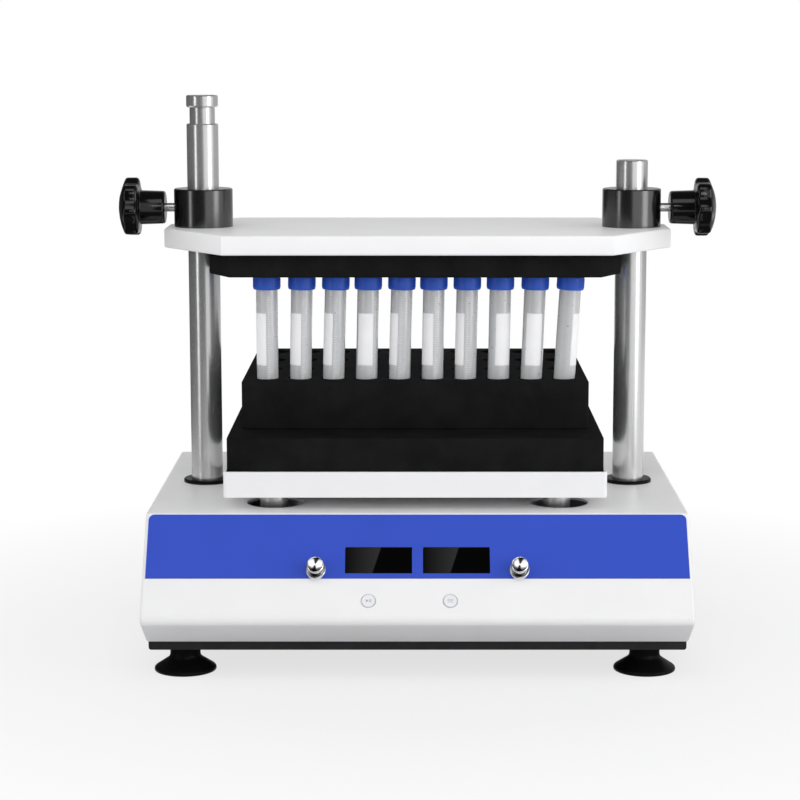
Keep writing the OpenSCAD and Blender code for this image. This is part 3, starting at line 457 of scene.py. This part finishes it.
def bakeModifiers(obj, finish):
    # turns the evaluated shape into a plain mesh at the origin, with its cut edges kept sharp
    depsgraph = bpy.context.evaluated_depsgraph_get()
    mesh = bpy.data.meshes.new_from_object(obj.evaluated_get(depsgraph))
    name = obj.name
    bpy.data.objects.remove(obj)
    bm = bmesh.new()
    bm.from_mesh(mesh)
    bpy.data.meshes.remove(mesh)
    bmesh.ops.triangulate(bm, faces=[face for face in bm.faces if len(face.verts) > 4])
    return finishMesh(bm, name, finish)


def keepPiece(piece, body, slot, *replaced):
    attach(piece, body)
    if replaced:
        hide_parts(*replaced)


def addRings(bm, rings):
    # a closed skin through rings of points, with a face over each end
    rows = [[bm.verts.new(p) for p in ring] for ring in rings]
    for a, b in zip(rows, rows[1:]):
        for i in range(len(a)):
            j = (i + 1) % len(a)
            bm.faces.new((a[i], a[j], b[j], b[i]))
    bm.faces.new(rows[0])
    bm.faces.new(rows[-1])


def addBore(bm, x, y, radius, low, high, around):
    addRings(bm, [[Vector((x + radius * math.cos(w), y + radius * math.sin(w), z)) * mm for w in fullTurn(around)]
                  for z in (low, high)])


def cutOutline(size, cut):
    # a rectangle with its corners cut off, seen from above
    l, w = size[0] / 2, size[1] / 2
    a, b = cut
    return [(l, -w + b), (l, w - b), (l - a, w), (a - l, w), (-l, w - b), (-l, b - w), (a - l, -w), (l - a, -w)]


def softenEdges(bm, edges, soft):
    bmesh.ops.bevel(bm, geom=edges, offset=soft * mm, segments=4, profile=0.5, affect="EDGES", clamp_overlap=True)


def cutAway(obj, cutMesh, finish, crossing=False):
    cutter = finishMesh(cutMesh, obj.name + "Cutter", finish)
    modifier = obj.modifiers.new("cut", "BOOLEAN")
    modifier.operation = "DIFFERENCE"
    modifier.solver = "EXACT"
    modifier.use_self = crossing
    modifier.object = cutter
    obj = bakeModifiers(obj, finish)
    bpy.data.objects.remove(cutter)
    return obj


# foam pieces: cut blocks of closed-cell foam with softened edges
foamSettings = {
    "upperPad": {"node": "upper_foam_pad", "body": "press", "size": (323.0, 170.0), "cut": (17.0, 31.0),
                 "z": (301.2, 331.2), "middle": (-1.8, columnY), "soft": 1.6},
    "lowerBlock": {"node": "lower_foam_block", "body": "carrier", "size": (290.1, 240.8), "cut": (12.0, 9.0),
                   "z": (blockBottom, rackBottom), "middle": (trayX, columnY), "soft": 1.8},
    "tubeRack": {"node": "foam_rack", "body": "carrier", "size": (271.4, 197.0), "cut": (1.5, 1.5),
                 "z": (rackBottom, rackTop), "middle": (trayX, 45.05), "soft": 2.4},
    "socketRadius": 9.4,
    "socketRows": 4,
    "rowPitch": 51.0,
    "columnRadius": 13.7,
    "overcut": 5.0,
    "around": 40,
    "fill": 0.95,
}


def makeFoam(name, s, holes):
    piece = s[name]
    middleX, middleY = piece["middle"]
    low, high = piece["z"]
    bm = bmesh.new()
    addRings(bm, [[Vector((x + middleX, y + middleY, z)) * mm for x, y in cutOutline(piece["size"], piece["cut"])]
                  for z in (low, high)])
    bmesh.ops.recalc_face_normals(bm, faces=bm.faces)
    softenEdges(bm, list(bm.edges), piece["soft"])
    foam = finishMesh(bm, name, "blackFoam", smoothAngle=30)
    if holes:
        cutMesh = bmesh.new()
        for x, y, radius in holes:
            addBore(cutMesh, x, y, radius, low - s["overcut"], high + s["overcut"], s["around"])
        foam = cutAway(foam, cutMesh, "blackFoam")
    keepPiece(foam, piece["body"], "black_foam", piece["node"])


sockets = [(tubeX(k), frontRowY + j * foamSettings["rowPitch"], foamSettings["socketRadius"])
           for k in range(tubeCount) for j in range(foamSettings["socketRows"])]
notches = [(side * columnX, columnY, foamSettings["columnRadius"]) for side in sideNames]
makeFoam("upperPad", foamSettings, notches)
makeFoam("lowerBlock", foamSettings, [])
makeFoam("tubeRack", foamSettings, sockets)
print("foam cut")


# node trees for what repeats
def startTree(name, sizes):
    tree = bpy.data.node_groups.new(name, "GeometryNodeTree")
    face = tree.interface
    face.new_socket("Geometry", in_out="INPUT", socket_type="NodeSocketGeometry")
    for label, value in sizes.items():
        kind = "NodeSocketInt" if isinstance(value, int) else "NodeSocketFloat"
        face.new_socket(label, in_out="INPUT", socket_type=kind)
    face.new_socket("Finish", in_out="INPUT", socket_type="NodeSocketMaterial")
    face.new_socket("Geometry", in_out="OUTPUT", socket_type="NodeSocketGeometry")
    return tree, tree.nodes.new("NodeGroupInput").outputs


def readAttribute(tree, name):
    return addStep(tree, "GeometryNodeInputNamedAttribute", "Attribute", Name=name)


def addVector(tree, **parts):
    return addStep(tree, "ShaderNodeCombineXYZ", "Vector", **parts)


def endTree(tree, instances, finish):
    done = addStep(tree, "GeometryNodeRealizeInstances", "Geometry", Geometry=instances)
    coated = addStep(tree, "GeometryNodeSetMaterial", "Geometry", Geometry=done, Material=finish)
    wire(tree, coated, tree.nodes.new("NodeGroupOutput").inputs["Geometry"])


def runTree(name, tree, sizes, points, attributes, finish):
    mesh = bpy.data.meshes.new(name + "Points")
    mesh.from_pydata(points, [], [])
    for key, values in attributes.items():
        mesh.attributes.new(key, "FLOAT", "POINT").data.foreach_set("value", values)
    obj = bpy.data.objects.new(name, mesh)
    scene.collection.objects.link(obj)
    modifier = obj.modifiers.new("shape", "NODES")
    modifier.node_group = tree
    given = {**sizes, "Finish": finishes[finish]}
    for item in tree.interface.items_tree:
        if item.in_out == "INPUT" and item.name in given:
            modifier[item.identifier] = given[item.name]
    return bakeModifiers(obj, finish)


# caps with a fine grip, made once and set on every tube
capSettings = {
    "rows": [(8.5, 117.4), (8.5, 108.3), (10.1, 108.0), (10.6, 108.5), (10.7, 109.2), (10.7, 117.4), (10.4, 118.4),
             (9.7, 118.9), (8.7, 119.0)],
    "around": 64,
    "gripRadius": 10.7,
    "gripMiddle": 113.3,
    "ribs": 60,
    "ribDepth": 0.35,
    "ribWidth": 0.55,
    "ribHeight": 6.8,
}


def makeCapShells(s):
    bm = bmesh.new()
    for k in range(tubeCount):
        place = tubeMatrix(k)
        addRings(bm, [[place @ (Vector((r * math.cos(w), r * math.sin(w), z)) * mm) for w in fullTurn(s["around"])]
                      for r, z in s["rows"]])
    return finishMesh(bm, "capShells", "capBlue", smoothAngle=40)


def ribTree(sizes):
    tree, given = startTree("capGrip", sizes)
    circle = addStep(tree, "GeometryNodeMeshCircle", "Mesh", Vertices=given["Ribs"], Radius=given["Radius"])
    size = addVector(tree, X=given["Rib depth"], Y=given["Rib width"], Z=given["Rib height"])
    rib = addStep(tree, "GeometryNodeMeshCube", "Mesh", Size=size)
    place = addStep(tree, "GeometryNodeInputPosition", "Position")
    outward = addStep(tree, "FunctionNodeAlignRotationToVector", "Rotation", Vector=place)
    outward.node.axis = "X"
    around = addStep(tree, "GeometryNodeInstanceOnPoints", "Instances", Points=circle, Instance=rib,
                     Rotation=outward)
    oneGrip = addStep(tree, "GeometryNodeRealizeInstances", "Geometry", Geometry=around)
    lean = addVector(tree, Y=readAttribute(tree, "lean"))
    onTubes = addStep(tree, "GeometryNodeInstanceOnPoints", "Instances", Points=given["Geometry"],
                      Instance=oneGrip, Rotation=lean)
    endTree(tree, onTubes, given["Finish"])
    return tree


def makeCapRibs(s):
    sizes = {"Radius": s["gripRadius"] * mm, "Rib depth": s["ribDepth"] * mm, "Rib width": s["ribWidth"] * mm,
             "Rib height": s["ribHeight"] * mm, "Ribs": s["ribs"]}
    middles = [tubeMatrix(k) @ Vector((0, 0, s["gripMiddle"] * mm)) for k in range(tubeCount)]
    leans = [math.radians(lean) for lean in tubeLeans]
    return runTree("capRibs", ribTree(sizes), sizes, middles, {"lean": leans}, "capBlue")


keepPiece(makeCapShells(capSettings), "carrier", "blue_plastic", "tube_caps")
keepPiece(makeCapRibs(capSettings), "carrier", "blue_plastic")
print("caps made")


# writing patches and graduations on the tubes
tubeSettings = {
    "skinRadius": 8.55,  # just clear of the tube's wall
    "patchZ": (48.5, 89.5),
    "patchSweep": 90,
    "patchSteps": 14,
    "tickStart": 24.0,
    "tickStep": 1.9,
    "tickCount": 42,
    "tickHeight": 0.45,
    "tickSweep": 24,
    "shortTick": 0.62,  # a short graduation's share of a long one
    "longEvery": 5,
    "tickSides": (62, 118),  # degrees from the patch's middle to each row
}


def makePatches(s):
    bm = bmesh.new()
    r, sweep, steps = s["skinRadius"], s["patchSweep"], s["patchSteps"]
    turns = [math.radians(sweep * (i / steps - 0.5)) for i in range(steps + 1)]
    for k in range(tubeCount):
        place = tubeMatrix(k, tubeSpins[k])
        low, high = ([bm.verts.new(place @ (Vector((r * math.sin(w), -r * math.cos(w), z)) * mm)) for w in turns]
                     for z in s["patchZ"])
        for i in range(steps):
            bm.faces.new((low[i], low[i + 1], high[i + 1], high[i]))
    return finishMesh(bm, "tubePatches", "patchWhite")


def tickTree(sizes):
    # graduations are laid out flat, then bent round the tube and set in rows beside its patch
    tree, given = startTree("tubeGraduations", sizes)
    radius, sweep, height = given["Radius"], given["Sweep"], given["Height"]
    length = addMath(tree, "MULTIPLY", radius, sweep)
    bar = addStep(tree, "GeometryNodeMeshGrid", "Mesh", Size_X=length, Size_Y=height, Vertices_X=4, Vertices_Y=2)
    toStart = addVector(tree, X=addMath(tree, "MULTIPLY", length, 0.5), Z=addMath(tree, "MULTIPLY", height, 0.5))
    upright = addStep(tree, "GeometryNodeTransform", "Geometry", Geometry=bar, Translation=toStart,
                      Rotation=(math.pi / 2, 0, 0))
    ladder = addStep(tree, "GeometryNodeMeshLine", "Mesh", Count=given["Count"],
                     Start_Location=addVector(tree, Z=given["Start"]), Offset=addVector(tree, Z=given["Step"]))
    between = addMath(tree, "MODULO", addStep(tree, "GeometryNodeInputIndex", "Index"), given["Long every"])
    share = addMath(tree, "MAXIMUM", addMath(tree, "LESS_THAN", between, 0.5), given["Short share"])
    bars = addStep(tree, "GeometryNodeInstanceOnPoints", "Instances", Points=ladder, Instance=upright,
                   Scale=addVector(tree, X=share, Y=1.0, Z=1.0))
    flat = addStep(tree, "GeometryNodeRealizeInstances", "Geometry", Geometry=bars)
    place = addStep(tree, "GeometryNodeInputPosition", "Position")
    along, up = (addStep(tree, "ShaderNodeSeparateXYZ", axis, Vector=place) for axis in ("X", "Z"))
    turn = addMath(tree, "SUBTRACT", addMath(tree, "DIVIDE", along, radius), addMath(tree, "MULTIPLY", sweep, 0.5))
    inward = addMath(tree, "MULTIPLY", radius, -1.0)
    bent = addVector(tree, X=addMath(tree, "MULTIPLY", radius, addMath(tree, "SINE", turn)),
                     Y=addMath(tree, "MULTIPLY", inward, addMath(tree, "COSINE", turn)), Z=up)
    oneRow = addStep(tree, "GeometryNodeSetPosition", "Geometry", Geometry=flat, Position=bent)
    rows = addStep(tree, "GeometryNodeInstanceOnPoints", "Instances", Points=given["Geometry"], Instance=oneRow,
                   Rotation=addVector(tree, Y=readAttribute(tree, "lean")))
    turned = addStep(tree, "GeometryNodeRotateInstances", "Instances", Instances=rows, Local_Space=True,
                     Rotation=addVector(tree, Z=readAttribute(tree, "spin")))
    endTree(tree, turned, given["Finish"])
    return tree


def makeTicks(s):
    sizes = {"Radius": s["skinRadius"] * mm, "Sweep": math.radians(s["tickSweep"]), "Start": s["tickStart"] * mm,
             "Step": s["tickStep"] * mm, "Height": s["tickHeight"] * mm, "Short share": s["shortTick"],
             "Count": s["tickCount"], "Long every": s["longEvery"]}
    rows = [(k, side) for k in range(tubeCount) for side in s["tickSides"]]
    feet = [tubeMatrix(k) @ Vector() for k, side in rows]
    turns = {"lean": [math.radians(tubeLeans[k]) for k, side in rows],
             "spin": [math.radians(tubeSpins[k] + side) for k, side in rows]}
    return runTree("tubeTicks", tickTree(sizes), sizes, feet, turns, "tickWhite")


keepPiece(makePatches(tubeSettings), "carrier", "white_plastic")
keepPiece(makeTicks(tubeSettings), "carrier", "white_plastic")
print("tube markings made")


# pressure plate: a folded sheet with softened edges, open below, bored for the columns
plateSettings = {
    "size": (403.4, 186.4),
    "cut": (51.0, 71.0),
    "z": (318.9, 334.2),
    "sheet": 3.0,
    "soft": 1.4,
    "bore": 12.76,
    "lap": 1.0,  # how far a bore's cutter reaches into the hollow
    "overcut": 5.0,
    "around": 64,
}


def makePlate(s):
    low, high = s["z"]
    sheet, overcut = s["sheet"], s["overcut"]

    def ring(size, cut, z):
        return [Vector((x, y + columnY, z)) * mm for x, y in cutOutline(size, cut)]

    bm = bmesh.new()
    addRings(bm, [ring(s["size"], s["cut"], z) for z in (low, high)])
    bmesh.ops.recalc_face_normals(bm, faces=bm.faces)
    softenEdges(bm, [e for e in bm.edges if abs(e.verts[0].co.z - e.verts[1].co.z) < mm], s["soft"])
    plate = finishMesh(bm, "plateShell", "whitePaint", smoothAngle=30)
    # the sheet's inner outline follows the outer one at the sheet's thickness
    length, width = s["size"]
    cutX, cutY = s["cut"]
    slant = math.hypot(cutX, cutY)
    innerCut = (cutX + sheet * ((slant - cutX) / cutY - 1), cutY + sheet * ((slant - cutY) / cutX - 1))
    innerSize = (length - 2 * sheet, width - 2 * sheet)
    cutMesh = bmesh.new()
    addRings(cutMesh, [ring(innerSize, innerCut, z) for z in (low - overcut, high - sheet)])
    for side in sideNames:
        addBore(cutMesh, side * columnX, columnY, s["bore"], high - sheet - s["lap"], high + overcut, s["around"])
    plate = cutAway(plate, cutMesh, "whitePaint", crossing=True)
    keepPiece(plate, "press", "white_paint", "pressure_plate")


makePlate(plateSettings)
print("plate folded")


# clamp knobs: a lobed head on a hub, turned as one moulding; rows of way out, radius and depth between lobes
knobSettings = {
    "height": 349.45,
    "lobes": 7,
    "turn": {"left": 5.9, "right": 11.6},
    "rows": [(30.5, 3.4, 0), (30.5, 11.4, 0), (30.8, 12.4, 0), (31.6, 13.0, 0), (33.0, 13.2, 0), (49.6, 13.7, 0),
             (50.3, 14.3, 0), (50.7, 16.4, 0.8), (50.9, 19.6, 2.2), (51.4, 22.0, 2.9), (52.3, 23.4, 3.2),
             (53.6, 23.9, 3.2), (60.4, 23.9, 3.2), (61.7, 23.6, 3.2), (62.5, 22.8, 3.0), (63.2, 21.4, 2.6),
             (64.3, 18.6, 1.9), (65.5, 15.2, 1.1), (66.7, 10.6, 0.4), (67.4, 6.4, 0.0), (67.8, 1.5, 0.0)],
    "around": 160,
}


def makeKnob(side, name, s):
    bm = bmesh.new()
    turn = math.radians(s["turn"][name])
    rings = []
    for out, r, dip in s["rows"]:
        ring = []
        for w in fullTurn(s["around"]):
            q = r - dip * math.sin(s["lobes"] * (w - turn) / 2) ** 2
            ring.append(Vector((side * (columnX + out), columnY + q * math.sin(w), s["height"] + q * math.cos(w))) * mm)
        rings.append(ring)
    addRings(bm, rings)
    knob = finishMesh(bm, "clampKnob" + name.capitalize(), "blackMoulding", smoothAngle=40)
    keepPiece(knob, "clamp_" + name, "black_moulding", "clamp_knob_" + name)


for side, name in sideNames.items():
    makeKnob(side, name, knobSettings)
print("clamp knobs made")


# chrome encoder knobs: a wide foot ring, a groove and a nearly flat spun face; rows of way out and radius
encoderSettings = {
    "rows": [(2.1, 4.5), (1.0, 4.5), (1.0, 7.4), (1.15, 7.62), (1.5, 7.7), (2.6, 7.7), (3.1, 7.55), (3.4, 7.2),
             (3.5, 6.6), (3.6, 5.6), (4.0, 5.3), (4.6, 5.4), (5.0, 5.7), (10.3, 6.5), (11.1, 6.6), (11.5, 6.5),
             (11.85, 6.25), (12.0, 5.9), (11.9, 5.7), (11.89, 2.5), (11.88, 0.4)],
    "around": 72,
}


def makeEncoder(side, name, s):
    bm = bmesh.new()
    addRings(bm, [[panelPoint(side * encoderX + r * math.cos(w), encoderDown - r * math.sin(w), out)
                   for w in fullTurn(s["around"])] for out, r in s["rows"]])
    knob = finishMesh(bm, "encoderKnob" + name.capitalize(), "knobChrome", smoothAngle=40)
    keepPiece(knob, "encoder_" + name, "chrome_knob", "encoder_knob_" + name)


for side, name in sideNames.items():
    makeEncoder(side, name, encoderSettings)
print("encoder knobs made")


# printed ring and plain icon on each button
def barCorners(left, right, low, high):
    return [(left, low), (right, low), (right, high), (left, high)]


buttonSettings = {
    "down": 72.8,
    "out": 0.43,  # just clear of the button's face
    "ring": (5.05, 4.8),
    "around": 64,
    "start": {"x": -36.8, "body": "start_key",
              "icon": [[(-1.9, -1.3), (0.3, 0.0), (-1.9, 1.3)], barCorners(0.7, 1.2, -1.3, 1.3),
                       barCorners(1.7, 2.2, -1.3, 1.3)]},
    "mode": {"x": 24.6, "body": "mode_key",
             "icon": [barCorners(-2.2, 2.2, low, low + 0.4) for low in (0.9, -0.2, -1.3)]},
}


def makePrint(name, s):
    bm = bmesh.new()
    button = s[name]
    outer, inner = s["ring"]
    turns = fullTurn(s["around"])
    shapes = [[(r * math.cos(w), r * math.sin(w)) for r, w in ((outer, a), (outer, b), (inner, b), (inner, a))]
              for a, b in zip(turns, turns[1:] + turns[:1])]
    for shape in shapes + button["icon"]:
        bm.faces.new([bm.verts.new(panelPoint(button["x"] + u, s["down"] - v, s["out"])) for u, v in shape])
    keepPiece(finishMesh(bm, name + "Print", "printGrey"), button["body"], "white_plastic")


makePrint("start", buttonSettings)
makePrint("mode", buttonSettings)
print("button prints made")


# floor, world, soft boxes, and grey cards that only reflections see; all in metres
stageSettings = {
    "floorHalf": 6.0,
    "floorColour": (0.92, 0.92, 0.93),
    "floorDark": 0.99,  # shade of the floor's faint patches
    "floorPatches": 3,
    "floorRoughness": 0.1,
    "floorGlow": (0.72, 1.0),  # share of plain white near the object and far from it
    "glowReach": (0.25, 0.62),
    "worldStrength": 1.0,
    "zenithShare": 0.1,  # how much of that strength comes from straight above
    "zenithStart": 0.45,
    "lights": [
        {"name": "rightBox", "place": (1.375, -1.0, 0.45), "aimZ": 0.3, "size": (0.6, 1.3), "power": 6.5},
        {"name": "leftStrip", "place": (-1.35, -1.05, 0.5), "aimZ": 0.3, "size": (0.2, 1.2), "power": 1.6},
        {"name": "frontBox", "place": (0.1, -2.3, 0.92), "aimZ": 0.25, "size": (1.0, 0.1), "power": 3.0},
        {"name": "upperBox", "place": (-0.2, -1.3, 1.85), "aimZ": 0.2, "size": (1.6, 0.9), "power": 8.0},
        {"name": "leftFill", "place": (-1.6, 0.9, 0.9), "aimZ": 0.2, "size": (1.4, 1.4), "power": 5.0},
        {"name": "rightFill", "place": (1.7, 0.2, 0.9), "aimZ": 0.2, "size": (1.4, 1.4), "power": 4.5},
    ],
    "unmirrored": ("leftFill", "rightFill"),
    "cardSteps": 24,
    "cards": [
        {"name": "leftLow", "turn": (-155, -60), "radius": 1.0, "z": (0.0, 0.6), "shade": 0.06},
        {"name": "frontLow", "turn": (-46, 3), "radius": 1.1, "z": (0.0, 0.45), "shade": 0.06},
        {"name": "leftCard", "turn": (-155, -60), "radius": 2.0, "z": (0.0, 2.0), "shade": 0.06},
        {"name": "frontCard", "turn": (-46, 3), "radius": 2.5, "z": (0.0, 2.0), "shade": 0.06},
        {"name": "backCard", "turn": (155, 205), "radius": 2.2, "z": (0.0, 2.0), "shade": 0.6},
        {"name": "rightCard", "turn": (88, 155), "radius": 2.0, "z": (0.0, 2.0), "shade": 0.45},
        {"name": "upperCard", "turn": (-180, 180), "radius": 2.6, "z": (2.0, 3.0), "shade": 0.1},
    ],
    "sheets": [
        {"name": "ceilingCard", "half": 2.6, "z": 3.0, "shade": 0.08},
        {"name": "tableCard", "half": 0.65, "z": 0.002, "shade": 0.1},
    ],
}


def seenRays(tree):
    rays = tree.nodes.new("ShaderNodeLightPath").outputs
    direct = addMath(tree, "MAXIMUM", rays["Is Camera Ray"], rays["Is Transmission Ray"])
    return addMath(tree, "MAXIMUM", direct, rays["Is Glossy Ray"])


def linkStrip(name, rows, mat):
    bm = bmesh.new()
    low, high = ([bm.verts.new(p) for p in row] for row in rows)
    for i in range(len(low) - 1):
        bm.faces.new((low[i], low[i + 1], high[i + 1], high[i]))
    strip = linkMesh(name, bm, mat)
    return strip


def squareRows(half, z):
    return [[(-half, y, z), (half, y, z)] for y in (-half, half)]


def makeFloor(s):
    mat, tree, shader, coords = startMaterial("floorWhite")
    patches = addNoise(tree, coords, s["floorPatches"])
    wire(tree, addRamp(tree, patches, tint(s["floorColour"], s["floorDark"]), s["floorColour"]),
         shader.inputs["Base Color"])
    setShader(shader, roughness=s["floorRoughness"], specular=0.5)
    away = tree.nodes.new("ShaderNodeVectorMath")
    away.operation = "LENGTH"
    wire(tree, coords, away.inputs[0])
    share = addRange(tree, away.outputs["Value"], *s["floorGlow"], *s["glowReach"])
    glow = tree.nodes.new("ShaderNodeEmission").outputs["Emission"]
    mix = tree.nodes.new("ShaderNodeMixShader")
    shown = addMath(tree, "MULTIPLY", share, seenRays(tree))
    for value, socket in zip((shown, shader.outputs["BSDF"], glow), mix.inputs):
        wire(tree, value, socket)
    wire(tree, mix.outputs["Shader"], tree.nodes["Material Output"].inputs["Surface"])
    linkStrip("floor", squareRows(s["floorHalf"], 0), mat)


def makeWorld(s):
    world = bpy.data.worlds.new("studio")
    scene.world = world
    world.use_nodes = True
    tree = world.node_tree
    background = tree.nodes["Background"]
    background.inputs["Color"].default_value = (1, 1, 1, 1)
    coords = tree.nodes.new("ShaderNodeTexCoord").outputs["Generated"]
    height = addStep(tree, "ShaderNodeSeparateXYZ", "Z", Vector=coords)
    strength = s["worldStrength"]
    sky = addRange(tree, height, strength, strength * s["zenithShare"], s["zenithStart"], 1.0)
    wire(tree, addRange(tree, seenRays(tree), sky, 1.0, 0.0, 1.0), background.inputs["Strength"])


def makeCard(name, rows, shade):
    mat, tree = startMaterial(name)[:2]
    glow = addStep(tree, "ShaderNodeEmission", "Emission", Strength=shade)
    wire(tree, glow, tree.nodes["Material Output"].inputs["Surface"])
    card = linkStrip(name, rows, mat)
    card.visible_camera = False
    card.visible_diffuse = False
    card.visible_transmission = False
    card.visible_shadow = False


def makeLight(lamp, mirrored):
    data = bpy.data.lights.new(lamp["name"], "AREA")
    data.shape = "RECTANGLE"
    data.size, data.size_y = lamp["size"]
    data.energy = lamp["power"]
    light = bpy.data.objects.new(lamp["name"], data)
    light.location = lamp["place"]
    aim = Vector((0.0, 0.0, lamp["aimZ"])) - Vector(lamp["place"])
    light.rotation_euler = aim.to_track_quat("-Z", "Y").to_euler()
    light.visible_glossy = mirrored
    scene.collection.objects.link(light)


def makeStage(s):
    makeFloor(s)
    makeWorld(s)
    for card in s["cards"]:
        first, last = card["turn"]
        turns = [math.radians(first + (last - first) * i / s["cardSteps"]) for i in range(s["cardSteps"] + 1)]
        makeCard(card["name"], [[(card["radius"] * math.sin(w), -card["radius"] * math.cos(w), z) for w in turns]
                                for z in card["z"]], card["shade"])
    for sheet in s["sheets"]:
        makeCard(sheet["name"], squareRows(sheet["half"], sheet["z"]), sheet["shade"])
    for lamp in s["lights"]:
        makeLight(lamp, lamp["name"] not in s["unmirrored"])


makeStage(stageSettings)
print("stage lit")
